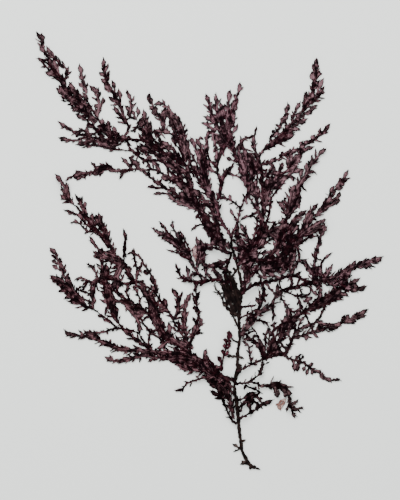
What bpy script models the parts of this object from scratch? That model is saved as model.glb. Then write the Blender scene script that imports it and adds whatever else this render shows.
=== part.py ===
"""Dasya corymbifera, pressed and dried: a bushy red seaweed lying flat on its back.

The plant is one holdfast and main axis, and the fronds that leave it to both sides. Each frond
is a node: its branches follow routes chosen by hand, flat below and ridged above, with small
pointed ramuli on both edges by a seeded rule, and all of it is fused into one solid.
The fronds are laid down one after another, each over what already lies there.
Units are metres, +Z is up and the specimen lies on Z = 0, seen from above with its holdfast at -Y.
"""

import math
import random
from collections import namedtuple

import bmesh
import bpy
import numpy as np
from mathutils import Matrix

# Driving dimensions
GRID_STEP = 0.0003           # the routes below count in steps of this size, to the right and down
MIDDLE = (210.4, 249.3)      # the grid point over the origin while the fronds are laid
THICKNESS = 0.00064          # of a pressed branch, from its flat underside to its ridge
LAYER_GAP = 0.0004           # clear height between a frond and what it lies on
STEEPEST = 0.4               # the steepest rise of a frond where it climbs over another
LEAST_LIFT = 0.00002         # a branch lies between these two heights above its frond's first branch,
MOST_LIFT = 0.0001           # so that no two of them share a face
WOBBLE = 0.00004             # a route's points are moved by up to this, so that none share an edge
FIRST_RAMULUS = (0.5, 1.0)   # where the first ramulus of a branch stands, as a share of their spacing
SPREAD_AHEAD = (0.85, 1.15)  # how far a ramulus reaches ahead, and the next one stands from it
SPREAD_ASIDE = (0.8, 1.2)    # how far a ramulus reaches to the side
TIP_SHARE = 1 / 3            # of its thickness that a branch keeps at its tip

# How closely the solids follow the smooth routes
SAMPLE = 0.0006              # distance between the points read from a smooth route
FLATNESS = 0.0003            # a point nearer than this to the chord beside it is left out
RAMULUS_CLEARANCE = 0.0001   # a ramulus whose end would be nearer than this to a neighbour is left out
BED_CELL = 0.0003            # cell of the height map that the fronds are laid on
BED_HALF_SIZE = (0.066, 0.078)
BED_MARGIN = 0.00055         # a lying branch is this much wider for what is laid over it

# What a branch is like: half its width at the root and at the end, then the ramuli that stand out
# from its edges, with their reach ahead and to the side and the distance from one to the next
Habit = namedtuple("Habit", "root_half end_half ahead aside spacing")
STIPE = Habit(0.00055, 0.00045, 0.0, 0.0, 0.0)
STOUT = Habit(0.00095, 0.00070, 0.0, 0.0, 0.0)
BARE = Habit(0.00036, 0.00030, 0.0, 0.0, 0.0)
FINGER = Habit(0.00040, 0.00045, 0.0, 0.0, 0.0)
LENS = Habit(0.00040, 0.00075, 0.0, 0.0, 0.0)
NUBBY = Habit(0.00042, 0.00034, 0.0007, 0.0006, 0.0026)
LEAFY = Habit(0.00045, 0.00036, 0.0016, 0.0009, 0.0019)
BROAD = Habit(0.00080, 0.00045, 0.0018, 0.0010, 0.0021)

MAIN_AXIS = {
    "stipe": (STIPE, (258, 469), (252, 467.5), (247, 463.5), (243.5, 456), (241.3, 449), (240.5, 440),
              (239, 430), (238, 421), (237, 410), (235.8, 398), (234.5, 388), (235, 378), (237, 369),
              (237.5, 360), (238, 350), (239.5, 340), (239.5, 330), (239, 318), (240, 306), (241, 294),
              (241, 283), (239, 272), (236.5, 262), (233.5, 253), (231.5, 244), (231, 236)),
    "holdfast_toe": (FINGER, (254, 468), (259, 470), (261.5, 471)),
    "holdfast_heel": (FINGER, (250, 467), (250, 469.5), (251, 471)),
    "holdfast_hook": (FINGER, (245.5, 461), (242.5, 460.5), (240.5, 463)),
    "low_spur": (FINGER, (240.5, 448), (236, 446.5), (232.5, 444.5)),
    "low_ramulus": (BARE, (240.5, 441), (245.5, 440.3)),
    "cross_twig_left": (BARE, (237.5, 356.5), (232, 356), (226.5, 357)),
    "cross_twig_right": (FINGER, (237.5, 356.5), (240, 357), (243, 358.3)),
    "upper_twig": (BARE, (238.5, 343), (233, 339.5), (230.5, 337.5)),
    "left_strand": (BARE, (239.5, 330), (236, 323), (232, 314), (228, 308), (223, 304), (222, 298),
                    (219, 293), (215.5, 288), (215, 282)),
    "left_strand_tip": (BARE, (219, 293), (213, 292)),
    "ring_side": (BARE, (222, 299), (224.5, 292), (223, 284), (216, 282)),
    "bundle_left": (STIPE, (238, 310), (234, 299), (229, 290), (226, 281), (225, 273), (227.5, 265),
                    (230, 258), (232.5, 252)),
    "bundle_middle": (STIPE, (239, 303), (236, 293), (233, 284), (230, 276), (227, 270)),
    "bundle_rib": (BARE, (232, 314), (231, 306), (229, 298), (226, 291), (223, 285)),
}

UPPER_LEFT_FROND = {
    "trunk": (STOUT, (231, 254), (225, 250), (219, 243), (214, 235), (209, 227), (205, 220), (200, 212),
              (196, 205), (192, 197), (188, 188), (187, 178), (186, 166)),
    "inner_strand": (BROAD, (219, 241), (217, 232), (215.5, 223), (213, 214), (209.5, 206), (204, 200),
                     (198, 195), (193, 188)),
    "left_twig": (NUBBY, (210, 229), (203, 225), (198, 225), (195, 227), (191, 231)),
    "low_strand": (NUBBY, (218, 244), (213, 239), (209, 233), (205, 228)),
    "leader": (BROAD, (186, 166), (179, 161), (172, 157), (160, 150), (150, 143), (140, 140), (128, 139.5),
               (118, 141), (114, 141), (109, 135), (104, 128), (99, 121), (95, 115), (91, 109), (86, 103),
               (80, 97), (74, 92), (67, 88), (62, 81), (56, 73), (51, 62), (46, 54), (43, 47), (41, 39),
               (36.5, 32.5)),
    "leader_side_1": (LEAFY, (66, 86), (67, 76), (67.5, 70.5), (63, 65.5), (58, 61), (54, 55), (49, 51),
                      (46, 46.5)),
    "leader_side_2": (LEAFY, (62, 83), (58, 78), (53, 73), (49, 69), (45, 64), (41, 59.5), (37, 58.5)),
    "leader_side_3": (LEAFY, (65, 90), (60, 84), (55, 79), (50, 75), (45, 72)),
    "plume_a": (BROAD, (86, 108), (81, 107), (74, 104), (67, 98), (61, 92), (56, 88)),
    "plume_b": (LEAFY, (88, 108), (80, 111), (75, 110), (71, 106.5)),
    "plume_c": (LEAFY, (97, 128), (90, 125), (86, 121), (81, 118), (76, 115)),
    "plume_d": (LEAFY, (85.5, 103), (85.5, 99), (86, 93), (85.5, 87), (83, 81), (81, 74), (79.5, 64.5)),
    "plume_e": (LEAFY, (97, 118), (98.5, 110), (100, 105), (98, 99), (96, 94), (93.5, 89), (89.5, 85.5)),
    "plume_f": (BROAD, (128, 139), (128, 130), (126, 121), (124, 113), (121, 106), (117, 99), (113, 92),
                (109, 85), (106, 77), (104, 69), (103, 58.5)),
    "plume_g": (LEAFY, (140, 124), (134, 118.5), (130, 116), (129, 110), (130.5, 104), (129, 97),
                (126.5, 90.5)),
    "plume_g_leaf": (LENS, (136, 119), (136.5, 112), (137, 107)),
    "plume_h": (LEAFY, (149, 143), (146, 134), (144.5, 126), (144, 118), (143.5, 109)),
    "plume_i": (BROAD, (151, 143), (149, 134), (149, 127), (151, 120)),
    "plume_j": (LEAFY, (163, 137), (161, 127), (160, 120), (157, 114), (153, 108), (150.5, 103),
                (148.5, 98), (149.5, 93)),
    "arch": (BROAD, (186, 162), (183, 150), (184, 138), (182, 130), (178, 122), (173, 115), (168, 109),
             (163, 104.5), (158, 103.5), (154, 105)),
    "plume_k": (LEAFY, (168, 136), (163, 126), (162, 118), (163, 111), (164, 106)),
    "plume_k_inner": (LEAFY, (181, 143), (178, 135), (174, 128), (171, 120), (170, 113)),
    "cross_strand": (NUBBY, (183, 151), (180, 146), (176, 139), (172, 134), (166, 132), (160, 130),
                     (153, 131)),
    "outer_a": (LEAFY, (112, 138), (103, 131), (98, 128), (92, 127), (86, 129), (80, 131), (74, 132),
                (68, 130), (63, 126), (58, 121.5)),
    "outer_b": (BROAD, (118, 141), (108, 140), (97, 138.5), (86, 139), (76, 141), (67, 139.5), (58.5, 137.5)),
    "outer_c": (LEAFY, (140, 152), (130, 151), (122, 150), (114, 149), (107, 147.5), (100, 145), (92, 145),
                (84, 144), (76, 144.5)),
    "inner_loop": (BARE, (128, 139), (129, 144), (132, 149), (138, 154), (145, 157), (155, 158.5),
                   (166, 162), (176, 167), (186, 172)),
    "arm": (LEAFY, (187, 177.5), (176, 177.5), (168, 176.5), (160, 172.5), (153, 169.5), (146, 170),
            (139, 169.5), (133, 169), (125, 171), (117, 171), (110, 169), (103, 168), (95, 172), (87, 174),
            (79, 175), (72, 177), (67, 180), (65, 183)),
    "arm_sprig_a": (FINGER, (132, 169), (130, 167), (126, 162), (122, 157.5)),
    "arm_sprig_b": (FINGER, (138, 169), (134, 163), (131, 157)),
    "arm_leaf_a": (LENS, (98, 169), (94, 165), (91, 162)),
    "arm_leaf_b": (LENS, (125, 171), (122, 175), (119, 178.5)),
    "lower_arm": (LEAFY, (192, 200), (180, 200), (172, 193), (165, 188), (158, 183), (152, 178), (146, 173),
                  (142, 170.5)),
    "lower_finger_a": (FINGER, (163, 188), (157, 188), (152, 186.5), (147, 187.5)),
    "lower_finger_b": (FINGER, (172, 195), (164, 193.5), (158, 193.5), (153, 195)),
    "lower_edge": (LEAFY, (198, 210), (190, 207), (182, 204), (174, 200), (168, 194)),
    "lower_sprig": (LEAFY, (184, 201), (178, 196), (173, 190), (168.5, 185.5)),
    "rib_a": (BARE, (146, 155), (146, 158), (149, 166), (150, 170)),
    "core": (BROAD, (212, 232), (206, 218), (201, 206), (197, 195), (194.5, 184), (192, 173), (188.5, 163)),
    "arm_core": (BROAD, (193, 186), (185, 184), (177, 182), (169, 180), (160, 176.5)),
    "leader_core": (BROAD, (186, 172), (177, 165.5), (167, 160), (156, 154.5), (147, 149), (138, 146)),
    "arch_core": (LEAFY, (183, 160), (178, 152), (172, 145), (166, 138), (161, 131)),
    "outer_core": (LEAFY, (128, 139.5), (119, 135), (112, 129), (106, 123)),
}

LEFT_FROND = {
    "trunk": (STOUT, (235, 380), (229, 378.5), (223, 376.5), (216, 373.5), (209, 370.5), (203, 366),
              (197, 361), (190, 354), (182, 348), (175, 344), (168, 338), (163, 330), (159, 322), (156, 313),
              (153, 304), (148, 296), (143, 290), (135, 284), (128, 272), (124, 265)),
    "spray_a": (LEAFY, (192, 357), (178, 356.5), (165, 357), (150, 355.5), (141, 355.5), (134, 357),
                (128, 359), (121, 360.5), (115, 361), (110, 359), (104.5, 357)),
    "spray_b": (LEAFY, (186, 351), (172, 351.5), (160, 352), (150, 352), (141, 351), (134, 350), (127, 349.5),
                (120, 349), (115, 347), (109, 344.5), (103, 342.5), (97, 339.5), (92, 337.5), (85, 336),
                (78, 335.5), (71, 335), (67, 333), (64, 329.5)),
    "spray_c": (NUBBY, (176, 346), (165, 346), (157, 348), (149, 346), (142, 341.5), (135, 336.5),
                (129, 332.5), (123, 329), (117, 328), (111, 329.5), (105, 331.5), (99, 333), (92, 333.5),
                (86, 332)),
    "lower_edge": (NUBBY, (204, 371), (196, 370), (189, 369.5), (182, 368), (178, 363.5), (172, 359),
                   (163, 358)),
    "lower_twig": (FINGER, (214, 374), (207, 377), (200, 378.5), (194, 381), (188, 382.5), (185.5, 385),
                   (183, 388), (179, 390), (175, 390)),
    "spur": (FINGER, (217, 373), (212, 367), (208, 362), (205.5, 357), (205, 352), (206.5, 348.5)),
    "branch_a": (NUBBY, (190, 353), (190, 345), (186, 341), (183, 336), (178.5, 329), (175, 324),
                 (173, 319.5), (170, 314), (166, 307.5), (161, 301), (156.5, 295), (152, 290), (146, 286),
                 (140, 283), (135, 281)),
    "branch_a_arch": (NUBBY, (156.5, 295), (155.5, 288), (153, 281), (150, 274), (147, 268), (143.5, 263),
                      (140, 257), (135, 253.5), (130, 253.5), (126, 256)),
    "branch_b": (LEAFY, (190, 348), (190.5, 345), (192.5, 338), (194.5, 331), (197.5, 323), (198.5, 315),
                 (196.5, 308), (196, 300), (196, 293), (195.5, 285)),
    "branch_b_tip": (BARE, (196, 298), (200, 291)),
    "branch_c": (LEAFY, (189, 348), (187.5, 343), (186, 338), (186, 332), (185, 325), (184.5, 318),
                 (185, 310), (186, 304), (188, 299), (190, 294), (192, 291)),
    "branch_d": (NUBBY, (173, 319), (176.5, 315), (178.5, 309), (178.5, 303), (176.5, 297), (174, 292),
                 (173, 288.5), (177, 291)),
    "lattice_a": (BARE, (150, 346), (149, 340), (150, 333), (157, 330), (162, 328)),
    "lattice_c": (NUBBY, (150, 346), (146, 342), (141, 337), (140, 330), (140, 324), (138, 318), (134, 314),
                  (131, 311), (128, 307)),
    "lattice_d": (BARE, (149, 337), (145, 327), (142, 321), (140, 315), (138, 310), (140, 303)),
    "cross_bar": (NUBBY, (153, 313), (146, 313.5), (139, 311), (133, 309), (128, 307), (124, 303),
                  (119, 300.5), (115, 302)),
    "eye_left": (BARE, (128, 307), (127, 297), (126, 291), (128, 285), (131, 280)),
    "eye_right": (BARE, (140, 311), (140, 302), (139, 296), (136, 290), (131, 286)),
    "west_leader": (BROAD, (124, 330), (116, 328), (111, 321), (105, 318), (100, 314.5), (95, 310), (92, 308),
                    (86, 307), (79, 303), (73, 299), (69, 294), (65, 288), (60, 283), (55, 278.5),
                    (49.5, 276)),
    "west_upper": (LEAFY, (94, 309), (91, 302), (85, 299.5), (78, 296), (73, 292), (68, 288)),
    "west_tip": (LEAFY, (80, 298), (78, 293), (74, 290), (70, 285), (66, 279), (63, 272), (59.5, 263),
                 (57, 257), (54, 251), (49.5, 247.5)),
    "west_finger_a": (FINGER, (101, 278), (94, 281), (88, 281.5), (83, 279.5), (79, 278.5), (74.5, 280.5)),
    "west_finger_c": (FINGER, (97.5, 281), (96, 275), (94.5, 270), (91, 266), (86.5, 263.5)),
    "west_rib": (BROAD, (103, 277), (97, 284), (94, 292), (93.5, 300), (93, 308)),
    "north_a": (BROAD, (131, 333), (122, 327), (118, 322), (115, 317), (113, 312), (110, 304), (108, 296),
                (106, 287), (105, 278), (104, 270), (102, 262), (98, 256), (93.5, 251)),
    "north_b": (LEAFY, (124, 263), (117, 260), (111, 258), (105, 254), (100, 250), (96, 247), (92.5, 242),
                (89.5, 236.5)),
    "north_c": (BROAD, (123, 265), (120, 274), (117, 281), (114, 288), (111, 296)),
    "north_f": (NUBBY, (134, 253.5), (135, 260), (136, 266), (137, 273), (135, 279), (134, 283)),
    "north_h": (NUBBY, (105, 279), (115, 278), (120, 281), (126, 284), (132, 282), (136, 280)),
    "plume": (BROAD, (124, 265), (119, 260), (114, 254), (110, 246), (106, 238), (101, 231), (95, 225),
              (89, 219), (85, 212), (81, 205), (75, 203), (69, 200), (66, 195), (64, 189), (63, 184),
              (59, 179), (55, 174.5)),
    "plume_side_a": (LEAFY, (97, 227), (92, 229), (86, 225), (80, 220), (75, 216), (69, 211.5),
                     (63.5, 210.5)),
    "plume_side_b": (LEAFY, (109, 244), (106, 242), (101, 236), (96, 232), (90, 231.5), (84, 228), (79, 224),
                     (75, 221.5), (70.5, 223)),
    "plume_side_c": (LEAFY, (111, 247), (107, 236), (103, 227), (100, 219), (98.5, 212.5)),
    "plume_side_d": (FINGER, (97, 227), (94, 220), (92, 213)),
    "plume_finger": (FINGER, (124, 264), (125, 257), (124, 251), (124.5, 245), (126, 240), (126, 233),
                     (124, 229.5)),
    "core_low": (BROAD, (190, 354), (183, 350), (174, 345), (165, 339), (158, 331), (152, 322)),
    "core_high": (BROAD, (163, 330), (160, 318), (157, 309), (151, 300), (146, 291)),
    "west_core": (BROAD, (124, 330), (118, 318), (121, 305), (119, 294)),
    "spray_core": (NUBBY, (190, 357), (180, 353.5), (168, 354), (157, 354)),
}

RED_SPRIG = {
    "stem": (LEAFY, (221.3, 369), (221.5, 365), (222.5, 360), (224, 355), (225, 350), (226, 345),
             (227.5, 338), (229, 330)),
    "side": (LENS, (221.5, 363), (219, 360), (218, 356)),
}

LEFT_BASAL_FROND = {
    "outer": (NUBBY, (236.5, 424), (232.5, 421.5), (229.5, 415.5), (226.5, 409), (223.5, 402), (220.5, 396.5),
              (215, 393.5), (210, 390.5)),
    "inner": (STOUT, (229.5, 415.5), (231, 409), (230.5, 402), (229, 395), (224, 388), (217, 382),
              (209, 376.5), (202, 371.5)),
    "middle": (BROAD, (222, 399), (220, 391), (216, 385), (210, 380), (203, 375)),
}

RIGHT_BASAL_FROND = {
    "arm": (LEAFY, (238.5, 417.5), (243, 416.5), (249, 413.5), (255, 410), (262, 405.5), (267, 402.5),
            (274, 399)),
    "tangle_b": (LEAFY, (238, 409), (241, 405), (245, 401), (250, 398), (257, 396)),
    "tangle_c": (BROAD, (236, 399.5), (240, 399), (245, 397), (251, 393), (256, 392)),
    "tangle_d": (BROAD, (246, 384.5), (248, 387), (255, 389), (259, 392), (256, 396), (260, 400), (262, 405)),
}

RIGHT_ARCHED_FROND = {
    "arch": (NUBBY, (234.5, 383), (243, 383), (249, 382), (256, 383), (260, 385.5), (266, 385.5), (270, 385)),
    "crook": (STOUT, (266, 385.5), (272, 384.5), (278, 385), (283, 387), (287, 391), (289.3, 395.5),
              (289, 400), (290, 404.5)),
    "leaf": (LENS, (275, 386), (276, 391), (278.5, 397.5)),
    "end": (LEAFY, (290, 403), (292.5, 406.5), (296, 409.5), (299.5, 408), (303.7, 408.5)),
    "end_side_a": (FINGER, (290, 404), (294, 403), (299, 399.5)),
    "end_side_c": (FINGER, (291, 406), (292, 411), (293.5, 415), (297.5, 416.5)),
    "end_side_d": (FINGER, (289.5, 402), (288, 405), (286.7, 411)),
    "link": (NUBBY, (247, 382.5), (252, 379.5), (257, 376), (260.5, 372), (262, 367), (263, 361)),
}

RIGHT_LOW_FROND = {
    "trunk": (NUBBY, (236.5, 371), (241, 369.5), (247, 366.5), (254, 363), (261, 360), (268, 358), (275, 356),
              (281, 355), (286, 357), (290, 359), (296, 360.5), (301, 361.5), (306, 364.5), (311, 368.5),
              (317, 372), (321, 374), (325, 377), (329, 379.5), (334, 380), (338, 379), (341, 380.5)),
    "low_leaf_a": (LENS, (293, 360), (294, 366), (294.3, 370.5)),
    "low_leaf_b": (LENS, (297.5, 360.5), (298, 366), (297, 370.5)),
    "up_leaf": (LENS, (296, 360), (299, 356.5), (303, 354)),
    "low_leaf_c": (LENS, (310, 367.5), (308.5, 371), (306.7, 374.5)),
    "up_leaf_b": (LENS, (308, 366), (313, 363.5)),
    "low_leaf_e": (LENS, (319, 373), (319.7, 377), (319, 380.3)),
    "up_leaf_c": (LENS, (317, 372), (320.5, 371)),
    "knee": (STOUT, (265, 359), (261, 352), (258.5, 345), (253, 340.5), (247, 339), (241, 339)),
    "knee_thin": (BARE, (263.5, 355), (262, 346), (258, 336), (254, 330), (250, 325)),
    "twig": (NUBBY, (251.5, 364), (250, 358), (249.5, 350), (248, 345), (244, 342), (240.5, 340)),
    "mesh_left": (BARE, (264, 357), (264, 350), (263.5, 343), (264.5, 338), (267, 334), (269, 329)),
    "mesh_floor": (STOUT, (266, 358), (270, 353), (275, 349.5), (280, 350.5), (284, 354)),
    "mesh_leader": (STOUT, (269, 353), (271, 345), (273.5, 338), (273, 331), (279, 326), (286, 321),
                    (292, 318.5), (299, 316), (305, 311), (311, 306.5), (318, 303)),
    "mesh_bar": (NUBBY, (271, 344), (275, 341.5), (281, 343), (283.5, 347.5), (288, 348), (292, 346.5)),
    "mesh_post": (BROAD, (279, 326), (280, 331), (283, 334), (287, 333), (290, 337.5)),
    "mesh_right": (NUBBY, (284, 355), (287, 352), (290, 345), (292.5, 339), (294, 334), (295, 328),
                   (294, 320)),
    "lower_plume": (LEAFY, (293, 338), (297, 336), (302, 335), (307, 332.5), (313, 331), (320, 330),
                    (326, 328.5), (336, 328)),
    "lower_plume_leaf": (LENS, (303, 334.5), (306, 337), (306, 341)),
    "lower_plume_twig": (FINGER, (311, 331.5), (315, 335), (318.5, 338)),
    "lower_plume_cross": (LEAFY, (295, 332), (299, 328.5), (305, 327), (309, 324.5), (312, 322.5)),
    "rim_left": (BARE, (305, 311), (306.5, 317), (309, 322), (311, 327), (311, 331)),
    "rim_right": (FINGER, (324, 302), (323.5, 309), (321, 315), (317, 320.5), (312.5, 325), (311.5, 331)),
    "south_plume": (LEAFY, (316, 321), (323, 323.5), (328, 325.5), (334, 325), (340, 323.5), (346, 322),
                    (351, 322), (354.5, 323.5)),
    "south_plume_tip": (LEAFY, (345, 322), (352, 318), (357, 316), (362, 313), (367.5, 309.5)),
    "south_leaf_a": (LENS, (341, 323), (343, 318), (344.7, 315)),
    "south_leaf_b": (LENS, (345.5, 321), (347, 317), (348.7, 314.3)),
    "south_knob": (FINGER, (318.5, 330), (318.5, 324)),
    "east_trunk": (STOUT, (308, 305), (314, 304), (320, 301), (327, 297.5), (333, 293.5), (338, 289.5),
                   (343, 286), (348, 283)),
    "east_finger_a": (FINGER, (345, 285.5), (350, 284), (355, 281.5), (359.5, 278.8)),
    "east_finger_b": (LEAFY, (343, 287), (350, 287.5), (356, 289), (362, 288.7), (366.5, 286)),
    "east_finger_c": (FINGER, (347, 288), (353, 290), (358, 291.5)),
    "east_hook": (FINGER, (336, 297), (340, 293), (344, 294), (348.5, 296.5)),
    "mesh_core": (BROAD, (275, 349.5), (278, 342), (282, 336), (285, 327), (290, 321)),
    "end_core": (LEAFY, (303, 312), (310, 309.5), (317, 306), (324, 301.5), (331, 297)),
}

RIGHT_INNER_FROND = {
    "trunk": (BROAD, (240, 335), (243, 331), (247, 327), (250, 321), (254, 315), (260, 311.5), (267, 307.5),
              (272, 303), (275, 297), (277, 290), (277.5, 283)),
    "twin": (NUBBY, (251, 319), (252, 312), (256, 307), (260, 302), (261, 295), (259, 289)),
    "spur": (FINGER, (272, 303), (273, 310), (273.3, 316), (272, 321)),
    "bar_a": (FINGER, (240, 308), (244, 306.5), (249, 305), (257, 305)),
    "bar_b": (NUBBY, (240, 318), (245, 315.5), (249, 314), (253, 313)),
    "side": (NUBBY, (252, 319), (256, 320), (262, 321), (266, 323), (269, 327.5)),
    "mesh_b": (NUBBY, (243, 331), (246, 335), (251, 338.5), (255, 335.5), (259, 338)),
    "upper_twig": (BARE, (261, 299), (264, 296), (268, 294)),
    "upper_side": (NUBBY, (276, 294), (272, 291), (268, 286), (264, 282)),
}

RIGHT_MIDDLE_FROND = {
    "trunk": (STOUT, (241, 294), (246, 290), (252, 286), (259, 283.5), (266, 282), (273, 280.5), (280, 278.5),
              (287, 276.5), (294, 276), (301, 278.5), (308, 281.5), (315, 281.5), (322, 279.5)),
    "leader": (BROAD, (319, 280), (326, 278.5), (333, 278), (339, 276), (344, 272), (349, 269), (355, 266),
               (361, 264.5), (367, 263), (375, 260.5), (383, 256.5)),
    "leader_lower": (BROAD, (326, 280), (332, 284.5), (339, 284), (345, 279), (349, 273), (352, 269)),
    "finger_a": (FINGER, (325, 278), (328, 272), (332.5, 264.5)),
    "finger_b": (BARE, (329, 278), (334, 277), (337.5, 273.5), (339, 269)),
    "head": (BROAD, (316, 281), (317, 275), (316, 269), (319, 266)),
    "beads": (LEAFY, (317, 276), (315, 270), (314.3, 265), (315.5, 259), (316, 253), (316.5, 249), (319, 245),
              (319.5, 239), (322, 233.5), (325, 228)),
    "upper_finger": (FINGER, (318, 274), (321, 268), (322, 262), (326, 257.5), (332, 252.5)),
    "hook": (FINGER, (316, 278), (311, 272), (308, 266), (305, 261), (299, 259.5)),
    "post": (BROAD, (318, 280), (319.5, 287), (320, 294), (318, 301)),
    "ring_a": (BARE, (300, 278.5), (297.5, 284), (300, 289), (302.5, 293.5), (307, 295), (310.5, 292),
               (309, 287), (304, 285.5), (300, 288)),
    "ring_b": (BARE, (304, 285.5), (311, 284), (316.5, 286.5), (318, 292)),
    "ring_d": (NUBBY, (306, 294.5), (307, 301), (311, 304.5)),
    "eye_a": (BARE, (291, 277), (292, 284), (289.5, 289), (285, 291.5), (280.5, 287.5), (279.5, 281),
              (284, 277.5)),
    "eye_b": (BARE, (285, 291.5), (292, 294), (297, 297), (300, 302), (302, 309), (304, 314)),
    "loop": (NUBBY, (282, 291), (281, 297), (284, 302), (288, 308), (288.5, 314), (287.5, 320)),
    "brace_b": (LEAFY, (299, 300), (300, 306), (299, 312), (294, 317)),
    "core": (BROAD, (280, 278.5), (286, 281), (291, 286), (296, 290)),
    "fork_core": (BROAD, (322, 280), (330, 281), (338, 281)),
}

RIGHT_UPPER_FROND = {
    "trunk": (STOUT, (250, 259), (257, 261), (264, 260), (270, 256), (275, 250), (279, 243), (282, 235),
              (285, 227), (287, 219), (289, 211), (292, 204)),
    "leader": (BROAD, (292, 204), (294, 198), (296, 192), (298, 187), (301, 182), (304, 178), (307, 172),
               (309, 168), (312, 163), (316, 159), (320.5, 153), (326.5, 148)),
    "leader_left": (BROAD, (289, 212), (290, 204), (290.5, 196), (293, 188), (297, 181)),
    "leader_right": (LEAFY, (292, 210), (297, 204), (300, 197), (303, 190), (307, 190)),
    "leader_hook": (NUBBY, (301, 183), (305, 177), (308.5, 173.5), (313, 171.5), (316.5, 174.5)),
    "leader_leaf_a": (LENS, (305, 177), (306, 168), (306.5, 162)),
    "tip_a": (LEAFY, (287, 216), (283, 207), (280, 203), (276, 200.5)),
    "tip_c": (LEAFY, (288, 219), (294, 215), (298, 209), (301.5, 203)),
    "second": (STOUT, (258, 263), (266, 264), (274, 261), (281, 256), (286, 250), (291, 243), (296, 237),
               (301, 232), (305, 227)),
    "second_leader": (BROAD, (304, 229), (308, 224), (313, 219), (319, 212.5), (323, 207), (327, 202),
                      (331.5, 197), (334, 191), (337, 186), (341, 181), (345, 176), (348, 170.5)),
    "second_plume_a": (BROAD, (302, 231), (306, 220), (310, 214), (314, 208), (318, 203.5)),
    "second_plume_b": (LEAFY, (288, 229), (292, 223), (296, 219), (301, 215), (306.5, 211)),
    "third": (BROAD, (293, 242), (298, 238.5), (303, 235), (310, 229), (318, 225.5), (326.5, 219.5)),
    "third_low": (FINGER, (296, 246), (303, 241), (308, 238), (313, 237), (318, 236)),
    "east_rim": (STOUT, (289, 248), (296, 246), (298.5, 252), (298, 259), (296, 266), (292, 272), (288, 276)),
    "weave_a": (BROAD, (263, 230), (270, 234), (276, 238), (283, 243), (289, 247)),
    "weave_c": (NUBBY, (266, 222), (272, 222.5), (277, 224), (282, 221), (287, 216)),
    "weave_e": (BROAD, (262, 269), (270, 268), (278, 267), (286, 264), (292, 260), (297, 255)),
    "weave_f": (BROAD, (261, 263), (264, 270), (270, 274), (277, 276)),
    "third_core": (BROAD, (281, 256), (287, 251), (293, 247), (299, 241), (304, 236)),
    "leader_core": (BROAD, (275, 250), (277, 240), (279, 231), (283, 222)),
}

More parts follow.
